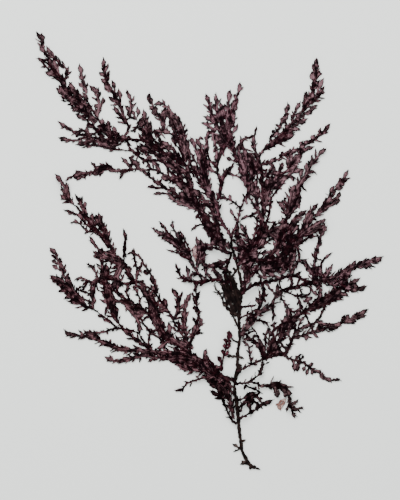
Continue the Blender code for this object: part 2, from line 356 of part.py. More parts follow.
UPPER_RIGHT_FROND = {
    "trunk": (STOUT, (237, 266), (243, 258), (249, 251), (255, 243), (259, 234), (262, 224), (263, 214),
              (263, 205), (262, 195), (262, 185), (261, 174), (260, 168), (259, 160)),
    "left_strand": (BROAD, (262, 218), (258, 209), (257, 200), (255, 191), (254, 182), (254, 173),
                    (257, 164)),
    "outer_strand": (NUBBY, (257, 243), (262, 236), (265, 228), (267, 220), (269, 212), (270, 205),
                     (271, 199), (273, 194), (277, 189), (281, 184), (284, 179), (288, 177), (293, 177),
                     (296, 179)),
    "inner_rim": (BROAD, (252, 247), (249, 241), (246, 235), (243, 229), (240, 223)),
    "bridge": (BARE, (259, 209), (255, 213.5), (249, 216), (244, 217.5), (240, 221)),
    "mass_a": (STOUT, (233, 247), (239, 249), (245, 251), (251, 256), (256, 262)),
    "mass_b": (BROAD, (240, 262), (247, 262), (254, 258), (260, 252)),
    "mass_c": (NUBBY, (242, 290), (245, 284), (249, 279), (253, 274), (257, 271), (261, 266), (257, 259)),
    "mass_d": (NUBBY, (241, 259), (245, 266), (248, 272), (249, 279)),
    "mass_f": (BROAD, (237, 222), (237, 230), (239, 238), (243, 245), (246, 251)),
    "crown_a": (BROAD, (259, 160), (257, 155), (254.5, 150), (253, 144), (253, 138), (254, 133),
                (256.5, 126.5)),
    "crown_b": (LEAFY, (253, 137), (247, 137.5), (242, 140.5), (241.5, 144), (244, 149), (247, 154),
                (251, 159), (257, 163)),
    "long_leader": (LEAFY, (259, 162), (260.5, 155), (265, 148), (270, 143), (275, 139), (281, 134),
                    (288, 128), (294, 122), (299, 116), (304, 110), (308, 104), (312, 97), (313.5, 90),
                    (315, 83), (315.5, 76), (316, 70), (316, 64), (316.5, 58.5)),
    "long_side_a": (LEAFY, (313, 99), (315, 97), (317, 90), (320, 84), (323.5, 79)),
    "long_side_b": (LEAFY, (309, 106), (312, 103), (317, 99), (321, 93), (324, 87)),
    "long_side_c": (LEAFY, (302, 112), (303, 109), (305, 103), (305, 97), (306.5, 91.5)),
    "long_side_d": (LEAFY, (292, 124), (292, 121), (294, 114), (297, 108), (300.5, 102)),
    "long_side_e": (LEAFY, (293, 123.5), (300, 118), (306, 113), (312, 109), (317, 105)),
    "long_side_f": (LEAFY, (281, 133), (282, 129), (285, 124), (286, 117), (288, 110), (287.5, 103)),
    "long_side_g": (LEAFY, (271, 142), (272, 138), (274, 132), (277, 127), (281, 123), (281, 117.5)),
    "long_side_i": (FINGER, (288, 128), (291, 128), (296, 129), (300.5, 130)),
    "long_low": (LEAFY, (267, 148), (271, 146), (277, 143), (283, 140), (289, 136), (295, 134)),
    "east_leader": (BROAD, (260, 165), (268, 161), (273, 158), (280, 155), (289, 152), (297, 149), (303, 146),
                    (309, 142), (316, 139), (321, 134), (326, 129), (329.5, 124)),
    "east_second": (LEAFY, (281, 174), (283, 172), (288, 167), (293, 163), (297, 159), (301, 155), (305, 151),
                    (309, 148), (314.5, 146.5)),
    "east_plume": (BROAD, (268, 190), (271, 186), (274, 180), (278, 174), (281, 168), (282.5, 161.5)),
    "east_third": (LEAFY, (272, 184), (278, 178), (282, 174), (287, 170), (292, 168), (298.5, 166.5)),
    "east_fourth": (LEAFY, (270, 190), (274, 186), (278, 180), (283, 176), (288, 174), (294, 171.5),
                    (303, 169)),
    "red_tuft": (LEAFY, (266, 177), (270, 170), (274, 164), (277, 158)),
    "core": (BROAD, (262, 205), (265, 196), (266.5, 187), (266, 178)),
    "crown_core": (LEAFY, (256, 172), (251, 165), (247, 158), (244, 151)),
    "mass_core": (BROAD, (243, 258), (249, 254), (256, 249), (262, 243), (266, 236)),
}

TOP_FROND = {
    "leader": (BROAD, (231, 240), (232, 233), (236, 225), (239, 216), (241, 208), (244, 199), (246.5, 190),
               (246, 183), (243, 175), (240, 167), (237, 161), (234, 155), (231, 148), (228, 140), (225, 130),
               (222, 124)),
    "knob_twig": (FINGER, (237.5, 221), (234, 216), (231.5, 212), (230, 208)),
    "crossing": (NUBBY, (241, 208), (238, 206), (233, 203), (229, 200), (225, 198.5), (221, 197), (216, 197)),
    "crossing_leaf": (FINGER, (230, 200.5), (230, 195)),
    "north_a": (LEAFY, (223, 125), (218, 118), (217, 110), (217, 104), (216, 99), (216, 93.5)),
    "north_b": (LEAFY, (221, 122), (215, 118), (211, 112), (211, 107), (209, 103), (207, 99), (206, 94)),
    "north_b_finger": (LEAFY, (216, 124), (210, 120), (207, 118), (203, 116.5)),
    "north_b_low": (LEAFY, (218, 131), (212, 128), (206, 124.5), (201.5, 123)),
    "north_c": (LEAFY, (225, 128), (227, 120), (228, 115), (228, 108), (228, 102), (229, 96), (230, 90.5)),
    "north_d": (BROAD, (226, 132), (229, 124), (230, 117), (232, 110), (233.5, 104), (235, 99), (237.5, 94),
                (238.5, 88), (239.5, 82.5)),
    "right_leaf_b": (FINGER, (230, 140), (233, 134), (237.5, 124)),
    "right_strand": (BROAD, (230, 131), (232, 135), (234, 142), (234, 149)),
    "left_side": (BROAD, (228, 138), (223, 146), (220, 152), (218, 158), (216.5, 164)),
    "left_edge": (LEAFY, (216, 128), (212, 133), (211, 139), (213, 145), (215, 151), (216, 157), (217, 164)),
    "heart_a": (LEAFY, (219, 195), (220, 192), (222, 186), (223, 179), (225, 174), (228, 171), (231, 167),
                (234, 163.5)),
    "heart_b": (NUBBY, (228, 172), (231, 174), (236, 175), (241, 177), (245, 181)),
    "west_trunk": (STOUT, (231, 238), (228, 231), (223, 224), (219, 217), (217, 208), (215, 199), (211, 191),
                   (208, 183), (205.5, 174), (203, 165), (201, 160)),
    "west_leader": (LEAFY, (201, 163), (200, 160), (198, 155), (195, 148), (192, 142), (190, 137)),
    "west_side": (LEAFY, (202, 163), (203, 155), (200, 147), (197, 141.5)),
    "west_inner": (LEAFY, (216, 200), (219, 193), (220, 187), (219, 180), (218, 174), (217, 168), (213, 163),
                   (209, 158), (207, 150), (207, 143)),
    "west_cross": (NUBBY, (203, 162), (205, 163), (211, 168), (217, 174)),
    "west_strand": (BARE, (204, 165), (204, 158), (204, 150), (205, 142), (207, 135), (208, 129)),
    "core": (BROAD, (230, 146), (224, 140), (220, 133), (217, 127), (214, 121)),
    "heart_core": (BROAD, (245, 195), (242, 187), (238, 180), (235, 173), (233, 166)),
}

CENTRE_LEFT_FROND = {
    "trunk": (NUBBY, (229, 282), (219, 280), (212, 279.5), (206, 281), (200, 283), (194, 281.5), (188, 280.5),
              (183, 278), (180, 275), (178, 270), (175.5, 263.5)),
    "side_a": (LEAFY, (191, 281), (188, 276), (188, 271), (186, 265.5)),
    "link_low": (NUBBY, (208, 280), (203, 277), (198, 273.5), (193, 273.5), (190, 277)),
    "down_strand": (NUBBY, (194, 281.5), (196, 287), (193, 291)),
    "leader": (BROAD, (200, 277), (196, 271), (193, 265), (190, 258.5), (186, 251), (181, 246), (176, 240),
               (170, 236.5), (163, 234), (157, 231), (151.5, 228)),
    "leader_side_b": (LEAFY, (182, 246), (178, 236), (175, 231), (173, 226), (172, 220)),
    "leader_side_c": (LEAFY, (190, 257), (188, 247), (185, 241), (182, 236), (180, 230.5)),
    "leader_side_d": (LEAFY, (191, 261), (184, 257), (178, 253), (172, 251), (166.5, 249.5)),
    "leader_edge": (LEAFY, (190, 258), (184, 252), (178, 249), (173, 243), (167, 240), (160, 237)),
    "sprig": (LEAFY, (194, 267), (196, 263), (198, 258), (200, 254), (200, 248), (198, 242), (196, 236.5)),
    "arch": (NUBBY, (200, 252), (204, 248.5), (209, 248), (215, 248), (220, 250), (225, 252), (229, 255)),
    "inner_ring": (NUBBY, (228, 264), (221, 266), (214, 266), (208, 266), (203, 268), (198, 272)),
    "inner_bar": (FINGER, (212, 267), (216, 272), (219, 275), (223, 279)),
    "inner_tuft": (LEAFY, (226, 262), (219, 263), (214, 264)),
}

BLEACHED_BLADE = {
    "blade": (LENS, (197, 262), (195, 256), (194, 250), (195.5, 244.5)),
}

BLEACHED_LOOP = {
    "loop": (FINGER, (285, 400), (281, 402), (279, 405.5), (280, 409), (283.5, 409)),
}

# Each frond has a seed of its own, for the places of its ramuli and the small unevenness of its lie
Frond = namedtuple("Frond", "node routes colour roughness seed")
FRONDS = (
    Frond("main_axis", MAIN_AXIS, "2a0d12", 0.55, 1),
    Frond("bleached_blade", BLEACHED_BLADE, "c9a79f", 0.65, 1),
    Frond("bleached_loop", BLEACHED_LOOP, "cdb3a4", 0.65, 1),
    Frond("red_sprig", RED_SPRIG, "5a2230", 0.6, 1),
    Frond("left_basal_frond", LEFT_BASAL_FROND, "2e141b", 0.6, 1),
    Frond("right_basal_frond", RIGHT_BASAL_FROND, "2c151b", 0.6, 1),
    Frond("upper_left_frond", UPPER_LEFT_FROND, "3b1822", 0.6, 2),
    Frond("left_frond", LEFT_FROND, "341620", 0.6, 1),
    Frond("right_low_frond", RIGHT_LOW_FROND, "331720", 0.6, 1),
    Frond("right_arched_frond", RIGHT_ARCHED_FROND, "2d1519", 0.6, 1),
    Frond("upper_right_frond", UPPER_RIGHT_FROND, "3d1922", 0.6, 3),
    Frond("right_middle_frond", RIGHT_MIDDLE_FROND, "361720", 0.6, 1),
    Frond("right_upper_frond", RIGHT_UPPER_FROND, "3b1924", 0.6, 5),
    Frond("centre_left_frond", CENTRE_LEFT_FROND, "351820", 0.6, 1),
    Frond("top_frond", TOP_FROND, "3c1a24", 0.6, 1),
    Frond("right_inner_frond", RIGHT_INNER_FROND, "33161d", 0.6, 1),
)

Branch = namedtuple("Branch", "habit line halves ramuli")


def grid_point(step_x, step_y):
    """The place, in metres, of a point of the route grid."""
    return np.array(((step_x - MIDDLE[0]) * GRID_STEP, (MIDDLE[1] - step_y) * GRID_STEP))


def smooth_line(points):
    """Points at SAMPLE along a Catmull-Rom curve through a route's points."""
    ends = [2 * points[0] - points[1]] + list(points) + [2 * points[-1] - points[-2]]
    line = []
    for before, start, end, after in zip(ends, ends[1:], ends[2:], ends[3:]):
        count = max(1, round(np.linalg.norm(end - start) / SAMPLE))
        for share in np.arange(count) / count:
            line.append(0.5 * (2 * start + (end - before) * share
                               + (2 * before - 5 * start + 4 * end - after) * share ** 2
                               + (3 * start - before - 3 * end + after) * share ** 3))
    return line + [points[-1]]


class Bed:
    """A height map of what already lies there, and the sheet that a new frond follows over it."""

    def __init__(self):
        columns, rows = (int(2 * half / BED_CELL) for half in BED_HALF_SIZE)
        self.top = np.zeros((rows, columns))
        self.sheet = self.top.copy()

    def cell(self, place):
        return tuple((place[axis] + BED_HALF_SIZE[axis]) / BED_CELL for axis in (1, 0))

    def mark(self, place, half_width, height):
        row, column = self.cell(place)
        reach = (half_width + BED_MARGIN) / BED_CELL
        rows = slice(int(row - reach), int(row + reach) + 2)
        columns = slice(int(column - reach), int(column + reach) + 2)
        self.top[rows, columns] = np.maximum(self.top[rows, columns], height)

    def settle(self):
        """Lift the sheet LAYER_GAP over what lies there, with flanks no steeper than STEEPEST."""
        sheet = np.where(self.top > 0, self.top + LAYER_GAP, 0.0)
        drop = STEEPEST * BED_CELL
        for _ in range(int(sheet.max() / drop)):
            padded = np.pad(sheet, 1)
            for row in (0, 1, 2):
                for column in (0, 1, 2):
                    step = math.hypot(row - 1, column - 1)
                    shifted = padded[row:row + sheet.shape[0], column:column + sheet.shape[1]]
                    sheet = np.maximum(sheet, shifted - drop * step)
        self.sheet = sheet

    def height(self, place):
        row, column = self.cell(place)
        low_row, low_column = int(row), int(column)
        patch = self.sheet[low_row:low_row + 2, low_column:low_column + 2]
        share_row, share_column = row - low_row, column - low_column
        rows = patch[0] * (1 - share_row) + patch[1] * share_row
        return rows[0] * (1 - share_column) + rows[1] * share_column


def nearest_on(branches, place):
    """The point of a frond's branches that is nearest to a place."""
    points = [point for branch in branches for point in branch.line]
    return min(points, key=lambda point: np.linalg.norm(point[:2] - place))


def lay_branch(habit, route, branches, bed, rng):
    """A branch laid on the bed's sheet, its root drawn into the branch that it grows from."""
    places = [grid_point(*step) for step in route]
    lift = 0.0
    if branches:
        root = nearest_on(branches, places[0])[:2]
        if np.linalg.norm(root - places[0]) > GRID_STEP:
            places.insert(0, root)
        else:
            places[0] = root
        places = [place + (rng.uniform(-WOBBLE, WOBBLE), rng.uniform(-WOBBLE, WOBBLE)) for place in places]
        lift = rng.uniform(LEAST_LIFT, MOST_LIFT)
    line = [np.append(place, bed.height(place) + lift) for place in smooth_line(places)]
    share = np.linspace(0, 1, len(line))
    halves = habit.root_half + (habit.end_half - habit.root_half) * share
    return Branch(habit, line, halves, {})


def heading(line, index):
    """The level direction ahead at a point of a line, and the one to its left."""
    step = (line[min(index + 1, len(line) - 1)] - line[max(index - 1, 0)])[:2]
    ahead = step / np.linalg.norm(step)
    return ahead, np.array((-ahead[1], ahead[0]))


def sprout(branch, neighbours, bed, rng):
    """Give a branch its ramuli, to either side in turn, where their ends are clear of neighbours."""
    habit = branch.habit
    reached = 0.0
    wanted = habit.spacing * rng.uniform(*FIRST_RAMULUS)
    side = rng.choice((-1, 1))
    for index in range(1, len(branch.line) - 2):
        reached += np.linalg.norm(branch.line[index] - branch.line[index - 1])
        if reached < wanted:
            continue
        wanted = reached + habit.spacing * rng.uniform(*SPREAD_AHEAD)
        side = -side
        ahead, left = heading(branch.line, index)
        aside = branch.halves[index] + habit.aside * rng.uniform(*SPREAD_ASIDE)
        end = branch.line[index][:2] + ahead * habit.ahead * rng.uniform(*SPREAD_AHEAD) + left * side * aside
        clear = np.linalg.norm(neighbours[:, :2] - end, axis=1) - neighbours[:, 2]
        if clear.min() > RAMULUS_CLEARANCE:
            height = max(branch.line[index][2], bed.height(end))
            branch.ramuli[index] = (side, np.append(end, height))


def ring_points(branch):
    """The points of a branch that get a ring: those that its shape needs and those with ramuli."""
    line = branch.line
    stops = sorted({0, max(len(line) - 3, 1), *branch.ramuli})
    kept = []
    for start, end in zip(stops, stops[1:]):
        kept += [start] + bends(line, start, end)
    return kept + [stops[-1]]


def bends(line, first, last):
    """The points between two of a line where it leaves the chord by more than FLATNESS."""
    chord = line[last] - line[first]
    length = np.linalg.norm(chord)
    offsets = {}
    for index in range(first + 1, last):
        along = np.clip(np.dot(line[index] - line[first], chord) / length ** 2, 0, 1)
        offsets[index] = np.linalg.norm(line[index] - line[first] - along * chord)
    if not offsets or max(offsets.values()) < FLATNESS:
        return []
    split = max(offsets, key=offsets.get)
    return bends(line, first, split) + [split] + bends(line, split, last)


def tube(branch):
    """A closed, keeled branch: flat below, ridged above, with its ramuli as barbs on its edges."""
    vertices = []
    rings = ring_points(branch)
    line = branch.line
    ridge = np.array((0, 0, THICKNESS))
    for index in rings:
        left = np.append(heading(line, index)[1], 0) * branch.halves[index]
        corners = {1: line[index] + left, 0: line[index] + ridge, -1: line[index] - left}
        side, end = branch.ramuli.get(index, (1, corners[1]))
        corners[side] = end
        vertices += corners.values()
    vertices.append(line[-1] + ridge * TIP_SHARE)
    faces = [(2, 1, 0)]
    for ring in range(len(rings) - 1):
        low, high = 3 * ring, 3 * ring + 3
        for corner in range(3):
            following = (corner + 1) % 3
            faces.append((low + corner, low + following, high + following, high + corner))
    last = 3 * (len(rings) - 1)
    tip = len(vertices) - 1
    faces += [(last + corner, last + (corner + 1) % 3, tip) for corner in range(3)]
    return vertices, faces


def add_solid(name, solid):
    vertices, faces = solid
    mesh = bpy.data.meshes.new(name)
    mesh.from_pydata([tuple(vertex) for vertex in vertices], [], faces)
    return bpy.data.objects.new(name, mesh)


def frond_material(name, colour, roughness):
    """A dried seaweed's skin: its colour in linear values, and how matt it is."""
    channels = [int(colour[start:start + 2], 16) / 255 for start in (0, 2, 4)]
    linear = [((value + 0.055) / 1.055) ** 2.4 if value > 0.04045 else value / 12.92 for value in channels]
    material = bpy.data.materials.new(name)
    material.use_nodes = True
    shader = material.node_tree.nodes["Principled BSDF"]
    shader.inputs["Base Color"].default_value = (*linear, 1.0)
    shader.inputs["Roughness"].default_value = roughness
    shader.inputs["Metallic"].default_value = 0.0
    return material


def outer_shell(mesh):
    """Keep a mesh's largest closed shell: loose scraps and sealed hollows go."""
    work = bmesh.new()
    work.from_mesh(mesh)
    waiting = set(work.verts)
    shells = []
    while waiting:
        shell = {waiting.pop()}
        front = list(shell)
        while front:
            for edge in front.pop().link_edges:
                for vertex in edge.verts:
                    if vertex in waiting:
                        waiting.discard(vertex)
                        shell.add(vertex)
                        front.append(vertex)
        shells.append(shell)
    shells.sort(key=len)
    bmesh.ops.delete(work, geom=[vertex for shell in shells[:-1] for vertex in shell], context="VERTS")
    work.to_mesh(mesh)
    work.free()


def fuse(frond, solids):
    """Fuse a frond's solids into one object, by one union on a collection."""
    body = add_solid(frond.node, solids[0])
    bpy.context.scene.collection.objects.link(body)
    others = bpy.data.collections.new(frond.node + "_pieces")
    bpy.context.scene.collection.children.link(others)
    for number, solid in enumerate(solids[1:]):
        others.objects.link(add_solid(f"{frond.node}_piece_{number}", solid))
    if len(others.objects):
        union = body.modifiers.new("union", "BOOLEAN")
        union.operation = "UNION"
        union.operand_type = "COLLECTION"
        union.collection = others
        union.solver = "MANIFOLD"
        fused = body.evaluated_get(bpy.context.evaluated_depsgraph_get())
        mesh = bpy.data.meshes.new_from_object(fused)
        body.modifiers.clear()
        body.data = mesh
        outer_shell(mesh)
    for piece in list(others.objects):
        bpy.data.objects.remove(piece)
    bpy.data.collections.remove(others)
    body.data.name = frond.node
    body.data.materials.clear()
    body.data.materials.append(frond_material(frond.node, frond.colour, frond.roughness))
    return body


def build_frond(frond, bed, rng):
    """Lay a frond's branches on the bed, give them their ramuli, fuse them and mark the bed."""
    bed.settle()
    branches = []
    for habit, *route in frond.routes.values():
        branches.append(lay_branch(habit, route, branches, bed, rng))
    covered = [[(*point[:2], half) for point, half in zip(branch.line, branch.halves)] for branch in branches]
    for number, branch in enumerate(branches):
        if branch.habit.spacing:
            neighbours = covered[:number] + covered[number + 1:]
            sprout(branch, np.array([spot for spots in neighbours for spot in spots]), bed, rng)
    for branch in branches:
        for point, half in zip(branch.line, branch.halves):
            bed.mark(point, half, point[2] + THICKNESS)
        for side, end in branch.ramuli.values():
            bed.mark(end, 0, end[2] + THICKNESS)
    return fuse(frond, [tube(branch) for branch in branches])


def centre(objects):
    """Move the objects level, so that the middle of the box round all of them is over the origin."""
    corners = np.array([vertex.co for item in objects for vertex in item.data.vertices])
    middle = (corners.min(axis=0) + corners.max(axis=0)) / 2
    for item in objects:
        item.data.transform(Matrix.Translation((-middle[0], -middle[1], 0)))


for leftover in list(bpy.data.objects):
    bpy.data.objects.remove(leftover)

seaweed_bed = Bed()
centre([build_frond(frond, seaweed_bed, random.Random(frond.seed)) for frond in FRONDS])
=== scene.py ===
"""Dasya corymbifera, pressed and dried: its looks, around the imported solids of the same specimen.

Each frond is drawn again strand by strand over the solid that stands for it, clothed in ramuli and
bristles, and lies at that solid's height. Everything is in metres, in the frame of the solids.
"""

import math
import random
from collections import namedtuple
from functools import partial

import bpy
import numpy as np
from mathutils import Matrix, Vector
from mathutils.bvhtree import BVHTree
from mathutils.kdtree import KDTree


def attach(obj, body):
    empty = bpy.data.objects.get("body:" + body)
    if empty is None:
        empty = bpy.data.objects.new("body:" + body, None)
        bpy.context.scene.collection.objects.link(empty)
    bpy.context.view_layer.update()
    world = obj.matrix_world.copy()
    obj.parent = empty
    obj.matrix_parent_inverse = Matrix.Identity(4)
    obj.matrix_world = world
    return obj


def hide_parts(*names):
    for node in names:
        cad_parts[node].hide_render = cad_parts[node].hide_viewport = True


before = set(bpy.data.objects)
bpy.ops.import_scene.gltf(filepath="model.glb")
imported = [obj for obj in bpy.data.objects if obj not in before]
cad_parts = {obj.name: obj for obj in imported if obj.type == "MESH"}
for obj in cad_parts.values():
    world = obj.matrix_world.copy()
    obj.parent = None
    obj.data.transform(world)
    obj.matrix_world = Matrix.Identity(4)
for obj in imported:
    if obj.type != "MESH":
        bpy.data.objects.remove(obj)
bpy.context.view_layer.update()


# The main axis and holdfast: the bare, wiry stipe that carries every frond, its torn foot, and the
# bundle of strands that clasps it higher up. Its cortex has dried almost black, with a dull shine.

# How a strand grows: half its width at the root and at the end, the length and half width of its
# ramuli, their lean from it in degrees and the distance from one to the next, half the width of the
# last ramulus, which is in line with it, and how much light comes through the strand's middle
Habit = namedtuple("Habit", "root_half end_half length half lean spacing tip_half clear")
STIPE = Habit(0.00056, 0.00038, 0.0, 0.0, 0.0, 0.004, 0.00036, 0.1)
STOUT = Habit(0.00048, 0.00032, 0.0020, 0.00038, 22, 0.00085, 0.00048, 0.25)
BARE = Habit(0.00030, 0.00022, 0.0008, 0.00020, 46, 0.0016, 0.00030, 0.1)
FINGER = Habit(0.00034, 0.00034, 0.0013, 0.00030, 18, 0.0011, 0.00052, 0.4)
LENS = Habit(0.00024, 0.00024, 0.0014, 0.00032, 12, 0.0012, 0.00072, 0.8)
NUBBY = Habit(0.00035, 0.00027, 0.0014, 0.00030, 36, 0.0009, 0.00044, 0.32)
LEAFY = Habit(0.00038, 0.00034, 0.0021, 0.00035, 24, 0.00075, 0.00068, 0.55)
BROAD = Habit(0.00048, 0.00038, 0.0026, 0.00039, 26, 0.00075, 0.00074, 0.45)
FILMY = Habit(0.00044, 0.00036, 0.0018, 0.00044, 26, 0.0011, 0.00060, 0.85)
WIRY = Habit(0.00020, 0.00015, 0.0012, 0.00020, 34, 0.0010, 0.00026, 0.0)

# A strand is given as its habit and the steps x, y of its route from the root to the end. Steps count
# to the right and down, and GRID_MIDDLE lies over the origin
GRID_STEP = 0.0003
GRID_MIDDLE = (209.327, 251.057)
SAMPLE = 0.00045  # distance between the points read from a smooth route


def smooth_route(steps):
    """Level points about SAMPLE apart along a Catmull-Rom curve through a route's steps."""
    points = [np.array(((x - GRID_MIDDLE[0]) * GRID_STEP, (GRID_MIDDLE[1] - y) * GRID_STEP))
              for x, y in zip(steps[::2], steps[1::2])]
    ends = [2 * points[0] - points[1]] + points + [2 * points[-1] - points[-2]]
    line = []
    for before, start, end, after in zip(ends, ends[1:], ends[2:], ends[3:]):
        count = max(1, round(np.linalg.norm(end - start) / SAMPLE))
        for share in np.arange(count) / count:
            line.append(0.5 * (2 * start + (end - before) * share
                               + (2 * before - 5 * start + 4 * end - after) * share ** 2
                               + (3 * start - before - 3 * end + after) * share ** 3))
    return line + [points[-1]]


def is_inside(outline, x, y):
    """Whether a place on the grid lies inside an outline of x and y steps."""
    corners = list(zip(outline[::2], outline[1::2]))
    crossings = 0
    for (x0, y0), (x1, y1) in zip(corners, corners[1:] + corners[:1]):
        if (y0 > y) != (y1 > y) and x < x0 + (y - y0) * (x1 - x0) / (y1 - y0):
            crossings += 1
    return crossings % 2 == 1


# Where strands are matted, a mat is given as its heading in degrees and the steps x, y of its outline
MAT_SPACING = 4.2  # steps between the short strands of a mat
MAT_SCATTER = 14  # degrees by which they stray from its heading
MAT_REACH = (3, 6)  # half of the shortest and of the longest one, in steps
MAT_BOW = 1.2  # how far to a side the middle of one may lie, in steps
FILMY_SHARE = 0.5  # of them that are thin pale films, below the wiry dark ones


def matted_routes(mats, chance):
    """Short strands that fill the mats of a frond, each heading about the way that its mat gives."""
    routes = []
    for heading, *outline in mats:
        for row in np.arange(min(outline[1::2]), max(outline[1::2]), MAT_SPACING):
            for column in np.arange(min(outline[::2]), max(outline[::2]), MAT_SPACING):
                x = column + chance.uniform(0, MAT_SPACING)
                y = row + chance.uniform(0, MAT_SPACING)
                angle = math.radians(heading + chance.gauss(0, MAT_SCATTER))
                reach = chance.uniform(*MAT_REACH)
                across, down = math.cos(angle) * reach, -math.sin(angle) * reach
                bow = chance.uniform(-MAT_BOW, MAT_BOW)
                route = (x - across, y - down, x + bow, y + bow, x + across, y + down)
                habit = FILMY if chance.random() < FILMY_SHARE else WIRY
                if all(is_inside(outline, *place) for place in zip(route[::2], route[1::2])):
                    routes.append((habit, *route))
    return routes


CAD_THICKNESS = 0.00064  # of the solids' branches, which stand in for thinner ones
FLANK_DROP = CAD_THICKNESS / 3  # how far under a solid's nearest point a strand beside it lies
RAY_START = -0.01  # height, below everything, from which rays look up
LEVELLED = 5  # heights in a row that are averaged


def lying_heights(line, solid):
    """The heights of the solid's underside along a level line, or of what is nearest beside it."""
    heights = []
    height = 0.0
    for x, y in line:
        found = solid.ray_cast(Vector((x, y, RAY_START)), Vector((0, 0, 1)))[0]
        if found is None:
            beside = solid.find_nearest(Vector((x, y, height)))[0]
            found = beside - Vector((0, 0, min(beside.z, FLANK_DROP)))
        height = found.z
        heights.append(height)
    padded = np.pad(heights, LEVELLED // 2, mode="edge")
    return np.convolve(padded, np.ones(LEVELLED) / LEVELLED, mode="valid")


UNEVEN = 0.16  # how much a strand's width wavers, as a share of it
WAVER_LENGTH = (0.0012, 0.0022)
FULL_TURN = 6.28  # radians, near enough for a waver
SLOW_PHASE = 1.7  # phase of the slow waver, in those of the quick one that it calms
TIP_LENGTH = 0.0032  # of the last ramulus
TIP_SHARE = 0.6  # of its strand that the last ramulus takes up at most
TIP_FULLEST = 0.8  # below 1 it is widest nearer to its root
LEAST_HALF = 0.00005  # half the width of the finest point


def strand_halves(habit, line, chance):
    """Half the width of a strand along its line, uneven, tapered, and swollen into its last ramulus,
    with the distance to its end and how full that ramulus is."""
    steps = np.linalg.norm(np.diff(line, axis=0), axis=1)
    reached = np.concatenate(([0.0], np.cumsum(steps)))
    share = reached / reached[-1]
    phase = chance.uniform(0, FULL_TURN)
    wave = chance.uniform(*WAVER_LENGTH)
    quick = np.sin(phase + reached * FULL_TURN / wave)
    slow = np.sin(SLOW_PHASE * phase + reached / wave)
    halves = (habit.root_half + (habit.end_half - habit.root_half) * share) * (1 + UNEVEN * quick * slow)
    length = min(TIP_LENGTH, TIP_SHARE * reached[-1])
    into_tip = np.clip((reached - reached[-1] + length) / length, 0, 1)
    swell = np.sin(math.pi * into_tip ** TIP_FULLEST)
    halves = np.where(into_tip > 0, np.maximum(halves * (1 - into_tip), habit.tip_half * swell), halves)
    return np.maximum(halves, LEAST_HALF), reached[-1] - reached, swell


DARK_RISE = 0.55  # height of a dark strand over a solid's underside, in CAD_THICKNESS
CLEAR_SINKS = 0.35  # how much lower a wholly clear one lies, likewise
SHORTENED = 0.55  # a ramulus is no longer than this share of the way to its strand's end
PAST_END = 0.0002  # and this much more
NARROWED = 1.6  # a ramulus shortened to less than 1 / 1.6 of its length is narrower too
LEAST_THIN, THIN_GAIN = 0.2, 1.2  # how thin a dark strand's ramuli are, and how much more a clear one's
CLEAR_TIP = 0.9  # how clear the last ramulus is in its middle, beside the others
DARK_POINT = 0.0010  # the last ramulus darkens over this length to its point
SHADES = (0.6, 1.2)  # how clear the least and the most clear of like strands are, in shares
CROWD_REACH = 0.0013  # strands nearer than this lie on each other and look darker
ALONE, PACKED = 9, 60  # points within that reach of a strand that lies alone, and of a packed one


def strand_mesh(name, routes, solid, chance):
    """A mesh of loose lines along a frond's routes, with what each point's strand and ramuli are like."""
    verts, edges = [], []
    values = {key: [] for key in "half shade thin leaf_length leaf_half lean spacing crowd".split()}
    for habit, *steps in routes:
        line = smooth_route(steps)
        heights = lying_heights(line, solid)
        halves, ahead, swell = strand_halves(habit, np.array(line), chance)
        first = len(verts)
        rise = CAD_THICKNESS * (DARK_RISE - CLEAR_SINKS * habit.clear)
        verts += [(x, y, height + rise) for (x, y), height in zip(line, heights)]
        edges += [(index, index + 1) for index in range(first, len(verts) - 1)]
        length = np.minimum(habit.length, SHORTENED * ahead + PAST_END)
        narrowing = np.minimum(1, NARROWED * length / max(habit.length, SAMPLE))
        thin = min(1.0, LEAST_THIN + THIN_GAIN * habit.clear)
        shade = np.maximum(habit.clear, CLEAR_TIP * thin * swell) * np.minimum(1, ahead / DARK_POINT)
        values["half"] += list(halves)
        values["shade"] += list(shade * chance.uniform(*SHADES))
        values["thin"] += [thin] * len(line)
        values["leaf_length"] += list(length)
        values["leaf_half"] += list(habit.half * narrowing)
        values["lean"] += [math.radians(habit.lean)] * len(line)
        values["spacing"] += [habit.spacing] * len(line)
    near = KDTree(len(verts))
    for index, point in enumerate(verts):
        near.insert((point[0], point[1], 0), index)
    near.balance()
    for point in verts:
        count = len(near.find_range((point[0], point[1], 0), CROWD_REACH))
        values["crowd"].append(min(1.0, max(0.0, (count - ALONE) / (PACKED - ALONE))))
    mesh = bpy.data.meshes.new(name)
    mesh.from_pydata(verts, edges, [])
    for key, numbers in values.items():
        mesh.attributes.new(key, "FLOAT", "POINT").data.foreach_set("value", np.array(numbers, np.float32))
    return mesh


def add_node(tree, kind, inputs=(), **settings):
    """A node with its settings. Its inputs, in order or by key, take a value, a node or an output."""
    node = tree.nodes.new(kind)
    for name, value in settings.items():
        setattr(node, name, value)
    for key, value in inputs.items() if isinstance(inputs, dict) else enumerate(inputs):
        if isinstance(value, bpy.types.Node):
            value = value.outputs[0]
        if isinstance(value, bpy.types.NodeSocket):
            tree.links.new(value, node.inputs[key])
        else:
            node.inputs[key].default_value = value
    return node


